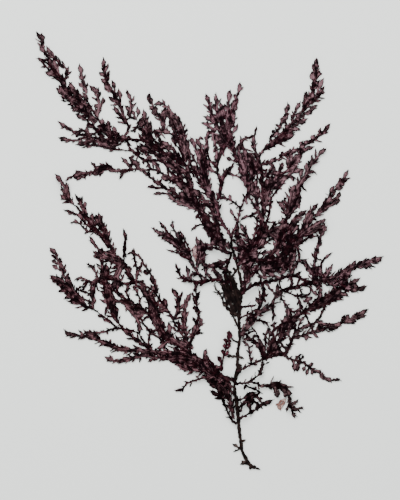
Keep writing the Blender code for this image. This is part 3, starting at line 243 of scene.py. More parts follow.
# Strands are drawn as flattened tubes along the lines. Ramuli stand on them in turn to the left and
# right as thin lenses that lean ahead, and short stiff bristles stand anyhow between them.
clothing = bpy.data.node_groups.new("clothed_strands", "GeometryNodeTree")
add = partial(add_node, clothing)
clothing.interface.new_socket("Geometry", in_out="OUTPUT", socket_type="NodeSocketGeometry")
SIZES = ("Strand flatness", "Ramulus flatness", "Bristle length", "Bristle half", "Bristle spacing")
SOCKETS = {name: clothing.interface.new_socket(name, in_out="INPUT", socket_type="NodeSocket" + kind)
           for kind, names in (("Geometry", ("Geometry",)), ("Float", SIZES), ("Int", ("Random seed",)),
                               ("Material", ("Material",))) for name in names}
given = add("NodeGroupInput").outputs
stored = {key: add("GeometryNodeInputNamedAttribute", {"Name": key}, data_type="FLOAT")
          for key in ("half", "thin", "leaf_length", "leaf_half", "lean", "spacing")}

# What is left to chance for each ramulus and bristle, from the least to the most: shares of the lean
# and sizes that the strand gives, angles in radians, and how clear a ramulus is. Sockets that share
# their name with others of the node go by number
CHANCES = {"lean": (0.4, 1.8), "roll": (-0.5, 0.5), "length": (0.6, 1.25), "width": (0.55, 1.25),
           "depth": (0.75, 1.0), "clearness": (0.3, 1.1), "bristle rise": (-0.5, 0.2),
           "bristle swing": (-1.5, 1.5), "bristle length": (0.4, 1.3)}
by_chance = {}
for number, (name, (least, most)) in enumerate(CHANCES.items(), 1):
    own_seed = add("ShaderNodeMath", (given["Random seed"], number), operation="ADD")
    by_chance[name] = add("FunctionNodeRandomValue", {2: least, 3: most, "Seed": own_seed},
                          data_type="FLOAT").outputs[1]


def flat_ring(sides, flatness):
    """A flattened ring to draw along a line. Its points note how far across the line they lie."""
    ring = add("GeometryNodeCurvePrimitiveCircle", {"Resolution": sides, "Radius": 1.0})
    corner = add("GeometryNodeInputPosition")
    corner = add("ShaderNodeSeparateXYZ", (corner,)).outputs
    ring = add("GeometryNodeStoreNamedAttribute",
               {"Geometry": ring, "Name": "across", "Value": corner[0]},
               data_type="FLOAT", domain="POINT")
    flattened = add("ShaderNodeMath", (corner[1], flatness), operation="MULTIPLY")
    place = add("ShaderNodeCombineXYZ", (corner[0], flattened))
    return add("GeometryNodeSetPosition", {"Geometry": ring, "Position": place})


STRAND_SIDES = 7
lines = add("GeometryNodeMeshToCurve", (given["Geometry"],))
lines = add("GeometryNodeSetCurveNormal", (lines,), mode="Z_UP")
strands = add("GeometryNodeCurveToMesh",
              {"Curve": lines, "Profile Curve": flat_ring(STRAND_SIDES, given["Strand flatness"]),
               "Scale": stored["half"], "Fill Caps": True})

# One ramulus, a unit long: a lens in outline, pointed at both ends, straight or bent to either side.
# Its points note how far along they lie, from -1 at its root to 1 at its end
RAMULUS_SIDES = 6
RAMULUS_POINTS = 6  # along its spine
RAMULUS_BENDS = (-0.10, 0.0, 0.10)  # how far to a side its middle lies, in lengths
FULLEST, FULLNESS = 0.85, 0.8  # below 1 it is widest nearer to its root, and fuller than a sine
POINT_HALF = 0.04  # half the width of its ends, as a share of its greatest
along = add("GeometryNodeSplineParameter").outputs["Factor"]
lengthwise = add("ShaderNodeMath", (along, 2.0, -1.0), operation="MULTIPLY_ADD")
squared = add("ShaderNodeMath", (lengthwise, lengthwise), operation="MULTIPLY")
arch = add("ShaderNodeMath", (1.0, squared), operation="SUBTRACT")
swelling = along
for operation, number in (("POWER", FULLEST), ("MULTIPLY", math.pi), ("SINE", 0.0), ("MAXIMUM", 0.0),
                          ("POWER", FULLNESS), ("ADD", POINT_HALF)):
    swelling = add("ShaderNodeMath", (swelling, number), operation=operation)
ramulus_shapes = add("GeometryNodeJoinGeometry")
for bend in RAMULUS_BENDS:
    bow = add("ShaderNodeMath", (arch, bend), operation="MULTIPLY")
    sideways = add("ShaderNodeCombineXYZ", (0.0, bow))
    spine = add("GeometryNodeCurvePrimitiveLine", {"Start": (0, 0, 0), "End": (1, 0, 0)})
    spine = add("GeometryNodeResampleCurve", {"Curve": spine, "Count": RAMULUS_POINTS})
    spine = add("GeometryNodeSetPosition", {"Geometry": spine, "Offset": sideways})
    spine = add("GeometryNodeSetCurveNormal", (spine,), mode="Z_UP")
    spine = add("GeometryNodeStoreNamedAttribute",
                {"Geometry": spine, "Name": "lengthwise", "Value": lengthwise},
                data_type="FLOAT", domain="POINT")
    lens = add("GeometryNodeCurveToMesh",
               {"Curve": spine, "Profile Curve": flat_ring(RAMULUS_SIDES, given["Ramulus flatness"]),
                "Scale": swelling, "Fill Caps": True})
    lens = add("GeometryNodeGeometryToInstance", (lens,))
    clothing.links.new(lens.outputs[0], ramulus_shapes.inputs[0])

# Ramuli stand in turn to the left and right, and the shortest are left out
LEAST_RAMULUS = 0.0001
spots = add("GeometryNodeCurveToPoints", {"Curve": lines, "Length": stored["spacing"]},
            mode="LENGTH").outputs
ahead = add("ShaderNodeSeparateXYZ", (spots["Tangent"],)).outputs
in_turn = add("GeometryNodeInputIndex")
in_turn = add("ShaderNodeMath", (in_turn, 2.0), operation="MODULO")
side = add("ShaderNodeMath", (in_turn, 2.0, -1.0), operation="MULTIPLY_ADD")
lean = add("ShaderNodeMath", (stored["lean"], side), operation="MULTIPLY")
lean = add("ShaderNodeMath", (lean, by_chance["lean"]), operation="MULTIPLY")
pitch = add("ShaderNodeMath", (ahead[2],), operation="ARCSINE")
pitch = add("ShaderNodeMath", (pitch, -1.0), operation="MULTIPLY")
heading = add("ShaderNodeMath", (ahead[1], ahead[0]), operation="ARCTAN2")
heading = add("ShaderNodeMath", (heading, lean), operation="ADD")
turn = add("ShaderNodeCombineXYZ", (by_chance["roll"], pitch, heading))
size = add("ShaderNodeCombineXYZ",
           [add("ShaderNodeMath", (stored[key], by_chance[name]), operation="MULTIPLY")
            for key, name in (("leaf_length", "length"), ("leaf_half", "width"), ("leaf_half", "depth"))])
clearness = add("ShaderNodeMath", (by_chance["clearness"], stored["thin"]), operation="MULTIPLY")
shaded = add("GeometryNodeStoreNamedAttribute",
             {"Geometry": spots["Points"], "Name": "shade", "Value": clearness},
             data_type="FLOAT", domain="POINT")
long_enough = add("FunctionNodeCompare", (stored["leaf_length"], LEAST_RAMULUS),
                  data_type="FLOAT", operation="GREATER_THAN")
own_seed = add("ShaderNodeMath", (given["Random seed"], len(CHANCES) + 1), operation="ADD")
shape = add("FunctionNodeRandomValue",
            {4: 0, 5: len(RAMULUS_BENDS) - 1, "Seed": own_seed}, data_type="INT").outputs[2]
ramuli = add("GeometryNodeInstanceOnPoints",
             {"Points": shaded, "Selection": long_enough, "Instance": ramulus_shapes,
              "Pick Instance": True, "Instance Index": shape, "Rotation": turn, "Scale": size})

# One bristle is a three-sided spike, a unit long, laid over to point ahead
SPIKE_SIDES, SPIKE_POINT = 3, 0.1
BRISTLE_SHADE = 0.2  # how clear bristles are
spike = add("GeometryNodeMeshCone",
            {"Vertices": SPIKE_SIDES, "Radius Top": SPIKE_POINT, "Radius Bottom": 1.0, "Depth": 1.0})
spike = add("GeometryNodeTransform", {"Geometry": spike, "Rotation": (0.0, math.pi / 2, 0.0)})
tufts = add("GeometryNodeCurveToPoints", {"Curve": lines, "Length": given["Bristle spacing"]},
            mode="LENGTH").outputs
ahead = add("ShaderNodeSeparateXYZ", (tufts["Tangent"],)).outputs
heading = add("ShaderNodeMath", (ahead[1], ahead[0]), operation="ARCTAN2")
heading = add("ShaderNodeMath", (heading, by_chance["bristle swing"]), operation="ADD")
turn = add("ShaderNodeCombineXYZ", (0.0, by_chance["bristle rise"], heading))
length = add("ShaderNodeMath", (given["Bristle length"], by_chance["bristle length"]), operation="MULTIPLY")
size = add("ShaderNodeCombineXYZ", (length, given["Bristle half"], given["Bristle half"]))
shaded = add("GeometryNodeStoreNamedAttribute",
             {"Geometry": tufts["Points"], "Name": "shade", "Value": BRISTLE_SHADE},
             data_type="FLOAT", domain="POINT")
bristles = add("GeometryNodeInstanceOnPoints",
               {"Points": shaded, "Instance": spike, "Rotation": turn, "Scale": size})

# Drying has crimped every edge, sideways only, and nothing dips down to what the plant lies on
CRIMPS = 1700  # to the metre, so one is about 0.6 mm long
CRIMP = 0.0009  # how far the crimp noise shifts a point for each unit of its value
LEAST_HEIGHT = 0.00003
together = add("GeometryNodeJoinGeometry")
for source in (bristles, ramuli, strands):
    clothing.links.new(source.outputs[0], together.inputs[0])
made = add("GeometryNodeRealizeInstances", (together,))
crimps = add("ShaderNodeTexNoise", {"Scale": CRIMPS, "Detail": 1.0}).outputs["Color"]
crimps = add("ShaderNodeVectorMath", (crimps, (0.5, 0.5, 0.5)), operation="SUBTRACT")
crimps = add("ShaderNodeVectorMath", (crimps, (CRIMP, CRIMP, 0.0)), operation="MULTIPLY")
crimped = add("GeometryNodeInputPosition")
crimped = add("ShaderNodeVectorMath", (crimped, crimps), operation="ADD")
crimped = add("ShaderNodeSeparateXYZ", (crimped,)).outputs
height = add("ShaderNodeMath", (crimped[2], LEAST_HEIGHT), operation="MAXIMUM")
place = add("ShaderNodeCombineXYZ", (crimped[0], crimped[1], height))
made = add("GeometryNodeSetPosition", {"Geometry": made, "Position": place})
made = add("GeometryNodeSetMaterial", {"Geometry": made, "Material": given["Material"]})
add("NodeGroupOutput", (made,))


def linear(colour):
    """An sRGB hex colour in linear values."""
    channels = [int(colour[start:start + 2], 16) / 255 for start in (0, 2, 4)]
    return (*[((c + 0.055) / 1.055) ** 2.4 if c > 0.04045 else c / 12.92 for c in channels], 1.0)


# Patterns of the dried surface. Streaks are about 0.8 mm long and 0.2 mm wide on a ramulus of 2 mm
PATCHES, CELLS = 650, 6500  # to the metre: patches are about 1.5 mm across, and cells 0.15 mm
STREAKS = 1.3  # to half a ramulus's length
STREAKS_ACROSS = 1.6  # so many times more of them to half its width
STREAKS_APART = 60.0  # its own shade, so many times, takes it to streaks of its own

# In each range a value between the first two numbers becomes one between the last two
PATCH_RANGE = (0.42, 0.66, 0.0, 1.0)
CROWD_RANGE = (0.1, 1.0, 1.0, 0.56)  # a film in a crowd looks less clear
ACROSS_RANGE = (0.5, 0.85, 1.0, 0.0)  # a film is dark at its margins
ALONG_RANGE = (0.4, 0.95, 1.0, 0.0)  # and at its points
BODY_RANGE = (0.4, 0.9, 1.0, 0.0)  # and what isn't film is reddest in its middle
STREAK_RANGE = (0.35, 0.62, 0.15, 1.0)
CELL_RANGE = (0.3, 0.7, 0.75, 1.25)
MOTTLE_RANGE = (0.0, 1.0, 0.45, 1.3)
FILM_RANGE = (0.1, 0.5, 0.0, 1.0)
ROUGHNESS_RANGE = (0.3, 0.7, 0.5, 0.75)
CELL_RELIEF = 0.00008  # how far the cells stand out, at half strength
CELL_STRENGTH = 0.5
THALLUS_IOR = 1.42  # about that of algal cell walls
SHINE = 0.03  # so matt that it hardly mirrors


def dried_thallus(name, dark, body, pale, redness):
    """Dried red algal thallus: matt, near-black where strands are stacked, and where a ramulus lies
    alone a thin translucent film, paler and pinker inside its dark margins and points."""
    material = bpy.data.materials.new(name)
    material.use_nodes = True
    tree = material.node_tree
    add = partial(add_node, tree)
    shader = tree.nodes["Principled BSDF"]
    where = add("ShaderNodeTexCoord").outputs["Object"]
    patches = add("ShaderNodeTexNoise", {"Vector": where, "Scale": PATCHES, "Detail": 2.0})
    cells = add("ShaderNodeTexNoise", {"Vector": where, "Scale": CELLS, "Detail": 3.0})
    across, lengthwise, shade, crowd = [add("ShaderNodeAttribute", attribute_name=key).outputs["Fac"]
                                        for key in ("across", "lengthwise", "shade", "crowd")]

    inner = []
    for value, from_middle in ((across, ACROSS_RANGE), (lengthwise, ALONG_RANGE), (across, BODY_RANGE)):
        off_middle = add("ShaderNodeMath", (value,), operation="ABSOLUTE")
        inner.append(add("ShaderNodeMapRange", (off_middle, *from_middle), interpolation_type="SMOOTHSTEP"))
    mottle = add("ShaderNodeMapRange", (patches, *PATCH_RANGE))
    uncrowded = add("ShaderNodeMapRange", (crowd, *CROWD_RANGE))
    beside = add("ShaderNodeMath", (across, STREAKS_ACROSS), operation="MULTIPLY")
    apart = add("ShaderNodeMath", (shade, STREAKS_APART), operation="MULTIPLY")
    streaks = add("ShaderNodeCombineXYZ", (beside, lengthwise, apart))
    streaks = add("ShaderNodeTexNoise", {"Vector": streaks, "Scale": STREAKS, "Detail": 1.0})

    film, film_along, reddened = inner
    shares = [add("ShaderNodeMapRange", (value, *between))
              for value, between in ((streaks, STREAK_RANGE), (cells, CELL_RANGE), (mottle, MOTTLE_RANGE))]
    for share in (film_along, shade, uncrowded, *shares):
        film = add("ShaderNodeMath", (film, share), operation="MULTIPLY")
    film = add("ShaderNodeMapRange", (film, *FILM_RANGE), interpolation_type="SMOOTHSTEP")
    for share in (mottle, redness, uncrowded):
        reddened = add("ShaderNodeMath", (reddened, share), operation="MULTIPLY")
    # Sockets 6 and 7 of a Mix node are its two colours, and its output 2 the mixed one
    colour = add("ShaderNodeMix", {"Factor": reddened, 6: linear(dark), 7: linear(body)},
                 data_type="RGBA").outputs[2]
    colour = add("ShaderNodeMix", {"Factor": film, 6: colour, 7: linear(pale)}, data_type="RGBA").outputs[2]
    roughness = add("ShaderNodeMapRange", (cells, *ROUGHNESS_RANGE))
    relief = add("ShaderNodeBump", {"Height": cells, "Strength": CELL_STRENGTH, "Distance": CELL_RELIEF})
    tree.links.new(colour, shader.inputs["Base Color"])
    tree.links.new(roughness.outputs[0], shader.inputs["Roughness"])
    tree.links.new(relief.outputs[0], shader.inputs["Normal"])
    shader.inputs["IOR"].default_value = THALLUS_IOR
    shader.inputs["Specular IOR Level"].default_value = SHINE
    return material


STRAND_FLATNESS = 0.5  # its thickness as a share of its width
RAMULUS_FLATNESS = 0.4
BRISTLE_LENGTH = 0.0003
BRISTLE_HALF = 0.00006
BRISTLE_SPACING = 0.0009


def dress(node, strands, seed, material, mats=()):
    """Draw a frond's strands over its solid, clothe them, and let the result stand for the solid."""
    chance = random.Random(seed)
    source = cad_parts[node].data
    solid = BVHTree.FromPolygons([vertex.co for vertex in source.vertices],
                                 [polygon.vertices for polygon in source.polygons])
    routes = list(strands) + matted_routes(mats, chance)
    frond = bpy.data.objects.new(node + "_dried", strand_mesh(node + "_lines", routes, solid, chance))
    bpy.context.scene.collection.objects.link(frond)
    clothes = frond.modifiers.new("clothing", "NODES")
    clothes.node_group = clothing
    for name, value in (("Strand flatness", STRAND_FLATNESS), ("Ramulus flatness", RAMULUS_FLATNESS),
                        ("Bristle length", BRISTLE_LENGTH), ("Bristle half", BRISTLE_HALF),
                        ("Bristle spacing", BRISTLE_SPACING), ("Random seed", seed), ("Material", material)):
        clothes[SOCKETS[name].identifier] = value
    mesh = bpy.data.meshes.new_from_object(frond.evaluated_get(bpy.context.evaluated_depsgraph_get()))
    frond.modifiers.clear()
    frond.data = mesh
    mesh.name = node + "_dried"
    for polygon in mesh.polygons:
        polygon.use_smooth = True
    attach(frond, "root")
    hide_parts(node)


# The stipe from its foot up, the torn foot, short stubs along the stipe, and the bundle on it
MAIN_AXIS_STRANDS = (
    (STIPE, 256, 468, 252, 466.3, 248, 462.5, 244.6, 456, 242, 450, 241, 443, 239.8, 434, 238.7, 425, 237.5,
     412, 235.8, 398, 234.5, 388, 235, 378, 237, 369, 237.5, 360, 238, 350, 239.5, 340, 239.5, 330, 239, 318,
     240, 306, 241, 294, 241, 283, 239, 272, 236.5, 262, 233.5, 253, 231.5, 244, 231, 236),
    (BARE, 251, 466, 255.5, 467.7, 260, 469.7),
    (NUBBY, 249, 464, 250.5, 467, 250.5, 469.7),
    (NUBBY, 249, 464.5, 244.5, 463.3, 240.3, 464.2),
    (NUBBY, 241, 448, 237, 446.8, 232.5, 444),
    (BARE, 240, 448.5, 237, 450, 234, 451.3),
    (BARE, 240.5, 441, 245.5, 440.3),
    (NUBBY, 238, 357, 232, 356, 226, 357),
    (NUBBY, 238, 357, 241, 357.3, 243.5, 358.3),
    (BARE, 238, 365, 242.5, 365.3),
    (BARE, 238.5, 343, 233, 339.5, 230.5, 337.5),
    (BARE, 239.5, 330, 236, 323, 232, 314, 228, 308, 223, 304, 222, 298, 219, 293, 215.5, 288, 215, 282),
    (BARE, 219, 293, 213, 292),
    (BARE, 222, 299, 224.5, 292, 223, 284, 216, 282),
    (STIPE, 238, 310, 234, 299, 229, 290, 226, 281, 225, 273, 227.5, 265, 230, 258, 232.5, 252),
    (STIPE, 239, 303, 236, 293, 233, 284, 230, 276, 227, 270),
    (BARE, 232, 314, 231, 306, 229, 298, 226, 291, 223, 285),
    (NUBBY, 239, 318, 234, 310, 229, 302, 225, 294, 222, 286, 221, 278),
    (NUBBY, 239, 296, 236, 289, 233, 283, 229, 278, 226, 274),
    (STIPE, 231, 378, 234, 381, 235, 386, 235, 392),
    (STIPE, 239.5, 366, 237.8, 372, 235.5, 379),
    (STIPE, 240, 370, 237.5, 374, 236, 381),
    (STIPE, 236, 396, 237.5, 405, 238.5, 414, 239.3, 424),
    (NUBBY, 247, 461.5, 243.5, 462, 241.5, 460.5),
    (NUBBY, 225, 266, 229, 273, 232, 279, 234, 286, 236, 293, 238, 300),
    (BARE, 237, 269.5, 234, 274, 231, 279, 229.5, 285),
    (BARE, 232, 276, 235, 282, 237.5, 289, 239.5, 297),
    (FINGER, 233, 268, 235, 269.5, 236.5, 272),
)
MAIN_AXIS_MATS = (
    (112, 224, 286, 230, 280, 236, 287, 240, 295, 241, 310, 240, 325, 235, 318, 229, 306, 225, 296),
    (118, 221, 276, 228, 274, 233, 278, 238, 284, 241, 295, 241, 310, 240, 326, 234, 318, 229, 306, 225, 296,
     221, 288),
    (112, 219, 277, 224, 276, 229, 290, 233, 303, 238, 315, 234, 318, 228, 310, 223, 304, 222, 296, 221,
     286),
    (105, 229, 276, 233, 275, 237, 283, 238, 293, 236, 295, 231, 286),
)
dress("main_axis", MAIN_AXIS_STRANDS, mats=MAIN_AXIS_MATS, seed=11, material=dried_thallus(
    "axis_cortex", dark="0d0808", body="2c1f1c", pale="5e504c", redness=0.8))


# The upper left frond: the longest and fullest, with plumes of overlapping ramuli that end in long
# points. Thin plumes have dried wine red and translucent, the stacked ones near black.
UPPER_LEFT_STRANDS = (
    (STOUT, 231, 254, 225, 250, 219, 243, 214, 235, 209, 227, 205, 220, 200, 212, 196, 205, 192, 197, 188,
     188, 187, 178, 186, 166),
    (BROAD, 219, 241, 217, 232, 215.5, 223, 213, 214, 209.5, 206, 204, 200, 198, 195, 193, 188),
    (BARE, 214, 226, 209, 220, 204, 215, 200, 213),
    (NUBBY, 210, 229, 203, 225, 198, 225, 195, 227, 191, 231),
    (NUBBY, 218, 244, 213, 239, 209, 233, 205, 228),
    (STOUT, 186, 166, 179, 161, 172, 157, 160, 150, 150, 143, 140, 140, 128, 139.5, 118, 141, 113, 139),
    (LEAFY, 65, 85, 65, 79, 67, 74, 68, 70, 64, 67, 60, 64, 57, 60, 54, 56, 50, 52.5, 46, 46),
    (NUBBY, 62, 82, 57, 77, 51.5, 72, 47.5, 68.5, 43.5, 63.5, 40.5, 60, 36.5, 58),
    (BROAD, 64, 88, 61, 82, 56.5, 78, 51, 74.5, 44.5, 71.5),
    (BROAD, 90, 117, 83, 110, 76, 105, 69, 99.5, 62, 94, 56, 87.5),
    (LEAFY, 90, 116, 83, 112.5, 77, 110.5, 70.5, 105.5),
    (BARE, 99, 132, 92, 126, 88, 121.5, 84, 117, 80, 112),
    (LEAFY, 85.5, 103, 85.8, 97, 86, 91, 84.5, 85, 83, 80, 81.5, 74, 80.5, 69, 79.5, 64),
    (LEAFY, 97.5, 117, 98, 111, 99, 106, 98, 101, 97, 96, 95, 91, 89.3, 85),
    (LEAFY, 127, 124, 124, 117, 122, 110, 120, 105, 117, 100, 114.5, 96),
    (LENS, 119, 104, 120.3, 96.5, 118.3, 89),
    (LEAFY, 129, 115, 131, 109, 131.2, 103, 129.5, 97, 126.5, 90),
    (LENS, 136, 120, 138, 113, 137, 107),
    (NUBBY, 144, 119, 140.5, 119, 138, 125, 134.5, 130, 129.5, 132),
    (BROAD, 150, 144, 147, 134, 145.5, 126, 145, 118, 143.3, 109),
    (BROAD, 152, 146, 150, 137, 149.5, 129, 151, 120.5),
    (LEAFY, 165, 134, 163, 127, 161, 121, 158.5, 116, 154.5, 111, 152, 106),
    (LEAFY, 186, 162, 184.5, 150, 184.5, 139, 183, 130, 179.5, 123, 175, 116.5, 170, 110.5, 164.5, 105, 159,
     103.3, 153.5, 105),
    (FINGER, 183.5, 133, 185.5, 131, 187.3, 128.5),
    (LEAFY, 166, 133, 163.5, 126, 163, 119, 164, 112, 166, 107),
    (LEAFY, 181, 146, 177.5, 139, 174, 131, 171.5, 124, 169, 117),
    (NUBBY, 183, 151, 180, 146, 176.5, 140, 172, 134.5, 166, 132, 159, 130.5, 152, 131),
    (NUBBY, 153, 131, 157, 135.5, 160, 141, 161, 148),
    (LEAFY, 90, 134, 87, 131, 82, 131, 75, 132, 69, 129, 63, 125, 58, 121.5),
    (LEAFY, 128, 139.5, 120, 140, 110, 140, 100, 138.5, 90, 137.5, 83, 138, 76, 140.5, 67, 139.5, 58.5,
     137.5),
    (BARE, 140, 154, 131, 151, 122, 150, 114, 149),
    (NUBBY, 120, 138, 114, 134, 109, 128, 105, 122),
    (NUBBY, 127.5, 141, 129.5, 147, 133, 151.5, 138, 156, 144, 159.5, 152, 160.5, 160, 161, 168, 164, 177,
     168, 186, 172),
    (NUBBY, 187, 177.5, 176, 177.5, 168, 176.5, 160, 172.5, 153, 169.5, 146, 169.8, 139, 169.3, 133, 169,
     125, 171, 117, 171, 110, 169),
    (FINGER, 132, 169, 130, 167, 126, 162, 122, 157.5),
    (FINGER, 138, 169, 134, 163, 131, 157),
    (NUBBY, 100, 170, 95.5, 166.5, 91, 162),
    (NUBBY, 127, 170.5, 122.5, 174.5, 119, 179),
    (STOUT, 192, 200, 180, 197, 172, 191.5, 165, 188, 158, 183, 152, 178.5, 146, 173.5, 141, 169.5),
    (BARE, 158, 183, 163, 178, 168, 176),
    (FINGER, 163, 188, 157, 188, 152, 186.5, 147, 187.5),
    (FINGER, 172, 195, 164, 193.5, 158, 193.5, 153, 195),
    (LEAFY, 198, 210, 190, 207, 182, 204, 174, 200, 168, 194),
    (LEAFY, 184, 201, 178, 196, 173, 190, 168.5, 185.5),
    (BROAD, 189, 193, 186, 192, 180, 186, 175, 180),
    (NUBBY, 145, 159, 148.5, 165, 151, 170),
    (LEAFY, 151, 159, 155.5, 165, 161, 172),
    (BARE, 160, 150, 160, 158, 166, 166, 169, 176),
    (BROAD, 212, 232, 206, 218, 200, 206, 195, 199, 192, 192, 190.5, 185, 189, 178, 187, 170),
    (BROAD, 193, 186, 185, 184, 177, 182, 169, 180, 160, 176.5),
    (BROAD, 186, 172, 177, 165.5, 167, 160, 156, 154.5, 147, 149, 138, 146),
    (LEAFY, 181, 160, 176, 153, 171, 147, 165, 143.5, 160, 141),
    (LEAFY, 128, 139.5, 121, 137, 114, 133.5, 108, 129, 104, 124),
    (NUBBY, 114, 140, 108, 133, 102, 125, 97, 117, 92, 109, 87, 101, 80.5, 95, 74, 88.5, 69, 82),
    (BROAD, 92, 110, 86, 107, 79, 102, 72, 96, 66, 90, 62, 84),
    (LEAFY, 85, 102, 78, 97, 73, 91, 69, 85),
    (LEAFY, 57, 75, 52, 66, 48, 58, 45, 52, 42.5, 46, 41, 40, 39, 36, 36.5, 31.5),
    (LENS, 43.5, 45, 43.5, 40, 41, 34),
    (LENS, 47, 56, 44, 52, 39, 46),
    (BROAD, 67, 90, 64, 84, 61, 79),
    (BARE, 63, 80, 57, 73, 52, 67, 48, 61, 45, 57),
    (LEAFY, 63, 80, 59.5, 75, 57.5, 70, 55, 64, 53, 58),
    (LENS, 54, 68, 51, 63, 49, 57),
    (BARE, 56, 74, 51, 68, 47, 63, 43, 59.5, 38.5, 57.8),
    (LENS, 58, 78, 53, 74, 48, 69.5),
    (LEAFY, 73, 103, 67, 97, 62, 90, 59, 85),
    (LENS, 76, 95, 73, 90, 69.5, 82.5),
    (LENS, 85, 91, 82.5, 87, 78.5, 82.5),
    (LENS, 82, 78, 80.5, 71, 79.3, 64),
    (LENS, 83, 82, 81, 78, 78.8, 75.5),
    (LENS, 100, 108, 103, 103, 103, 97),
    (LENS, 100, 109, 98, 107, 94.5, 104.3),
    (FINGER, 97.5, 99, 99.5, 95, 100.5, 91.5),
    (FINGER, 95, 94, 98, 91, 98.5, 88),
    (LENS, 86, 113, 82, 109, 79, 104),
    (LENS, 87, 120, 82, 118, 76, 114.5),
    (LEAFY, 97, 122, 92, 117, 88.5, 111, 86, 105),
    (LEAFY, 94, 125, 91.5, 119, 90, 112),
    (NUBBY, 101, 137, 99.5, 131, 95, 127.5, 90, 126, 87, 122.5),
    (NUBBY, 88, 138, 85.5, 133, 87, 128, 88, 123),
    (NUBBY, 104, 137, 98, 133, 92, 134, 86, 137),
    (BROAD, 118, 143, 108, 142.5, 99, 141.5, 90, 141, 82, 142.5),
    (LEAFY, 117, 149.5, 110, 148.5, 104, 146, 97, 145, 90, 145.5, 83, 144, 75.5, 144.3),
    (LENS, 115, 148, 109, 147, 103, 143.5),
    (LENS, 106, 129, 103, 124, 101.8, 117.5),
    (LENS, 111, 131, 109, 126, 107.5, 120.5),
    (LENS, 118, 136, 115, 131, 113, 126),
    (LEAFY, 119, 140, 112, 137, 106, 133, 100, 130),
    (LEAFY, 121, 144, 113, 145, 105, 144, 98, 143),
    (NUBBY, 127, 140, 125, 136, 127.5, 131, 129, 127, 126.5, 122),
    (BROAD, 116, 98, 112, 91, 108, 84, 105.5, 77, 104, 69, 103, 58.3),
    (LENS, 105, 72, 104, 65, 103, 58),
    (LENS, 106, 79, 103, 75.5, 99, 72),
    (LENS, 108, 86, 105, 82, 100.5, 78.5),
    (LENS, 113, 93, 108, 89, 103.5, 83),
    (LENS, 114, 93, 114.5, 87, 112, 81),
    (LENS, 118, 102, 117, 97, 118.5, 91),
    (BROAD, 126, 123, 121, 116.5, 117, 111, 113.5, 105.5),
    (LEAFY, 121, 106, 116, 102, 112, 99.5, 108, 96.5),
    (LENS, 119, 106, 115, 101, 113.5, 97),
    (BARE, 126, 119.5, 131, 118, 137, 120),
    (LENS, 134, 119, 130, 116, 127, 111.5),
    (LENS, 134, 119, 134, 114, 132, 110),
    (LENS, 132, 112, 128, 109, 124.5, 106),
    (BROAD, 148, 143, 144, 134, 141.5, 126, 140.5, 118),
    (LENS, 153.5, 107, 151.5, 102, 149.8, 97),
    (LENS, 150.5, 104, 148.3, 99, 149.7, 92.8),
    (LENS, 158, 117, 155, 114, 151, 111.5),
    (LENS, 155, 112, 152, 109, 149.3, 105.5),
    (LENS, 158, 115, 156, 110, 155.5, 105.5),
    (LEAFY, 183, 146, 180, 136, 176.5, 128, 173, 121, 168, 113, 163, 107),
    (LEAFY, 184, 139, 180.5, 130, 177, 123, 172, 116),
    (FINGER, 180, 122, 179, 118.5, 177.3, 116),
    (FINGER, 174, 115, 173.5, 113.5, 172, 112),
    (LENS, 163, 121, 161.5, 117, 162, 111),
    (BARE, 184, 158, 180, 150, 175, 144, 171, 139),
    (LEAFY, 190.5, 164, 189, 156, 187.7, 148, 187, 142, 186, 138.5),
    (BARE, 137, 155, 137.5, 149, 136.5, 143),
    (NUBBY, 115, 171, 109, 169.5, 102, 169.5, 95, 171.5, 88, 173, 81, 175, 74, 176, 69, 178, 65, 181),
    (BARE, 176, 178, 172, 181, 178, 183, 182, 188),
    (LEAFY, 197, 206, 190, 200, 184, 196, 178, 192),
    (LEAFY, 199, 209, 192, 205, 185, 202, 178, 198),
    (LEAFY, 194, 196, 188, 191, 183, 187),
    (BROAD, 204, 201, 209, 205.5, 213, 211, 215, 217.5, 217, 225, 220, 233),
    (NUBBY, 195, 203, 200, 205.5, 206, 205.5, 211, 208),
    (BROAD, 195, 205, 199, 210, 202, 216, 206, 222, 211, 229),
    (BARE, 203, 215, 206.5, 216.5, 209.5, 221),
    (BROAD, 209, 230, 213, 237, 219, 243, 225, 249),
    (NUBBY, 217, 228, 221, 235, 225, 242, 230, 250),
    (STOUT, 200, 214, 197, 216, 195.5, 219),
    (BROAD, 116, 171.5, 110, 168, 104, 166, 98.5, 168, 93, 172.5),
    (BROAD, 112, 171, 106, 168.5, 101, 169.5, 96, 173, 91, 174),
    (LEAFY, 104, 171, 99, 173.5, 93, 174),
    (LEAFY, 86, 173.5, 80, 172.5, 75.5, 170.8),
    (NUBBY, 88, 174, 83, 177.3, 77, 178, 72, 176),
    (LENS, 85, 174, 79, 174.5, 73, 174.7),
    (STOUT, 133, 169.5, 127, 170.5, 121, 171.5, 115, 171),
    (STOUT, 218, 208, 213.5, 202.5, 208.5, 195, 203.5, 188.5, 199.8, 183, 197, 176.5, 193.5, 170, 190, 162),
    (LEAFY, 140.5, 170, 138, 165.5, 135, 161.5, 132.3, 159),
    (NUBBY, 133, 165, 131, 161, 131.5, 157.5, 134.8, 155.3),
    (LEAFY, 130.5, 169, 127.3, 163.5, 124.3, 160, 121.7, 157.7),
    (BROAD, 153, 131, 159, 131.8, 165, 131.5, 171.5, 133.7),
    (NUBBY, 156, 132, 158.7, 137, 161, 142),
    (LEAFY, 163.5, 127, 164.3, 120, 166, 114, 168, 109.5),
    (LENS, 171, 121.5, 168.3, 116.5, 166.5, 111),
    (LEAFY, 183, 176.5, 176, 170, 170, 166, 165, 163),
    (NUBBY, 181, 178, 174.5, 175.3, 169.5, 171.3, 166.5, 165),
    (BROAD, 203.5, 199.5, 200, 194.5, 197, 191, 193.5, 190.3),
    (LEAFY, 176, 146.5, 173.7, 141, 171.3, 136.5),
    (NUBBY, 144, 142, 141, 138, 138.5, 133),
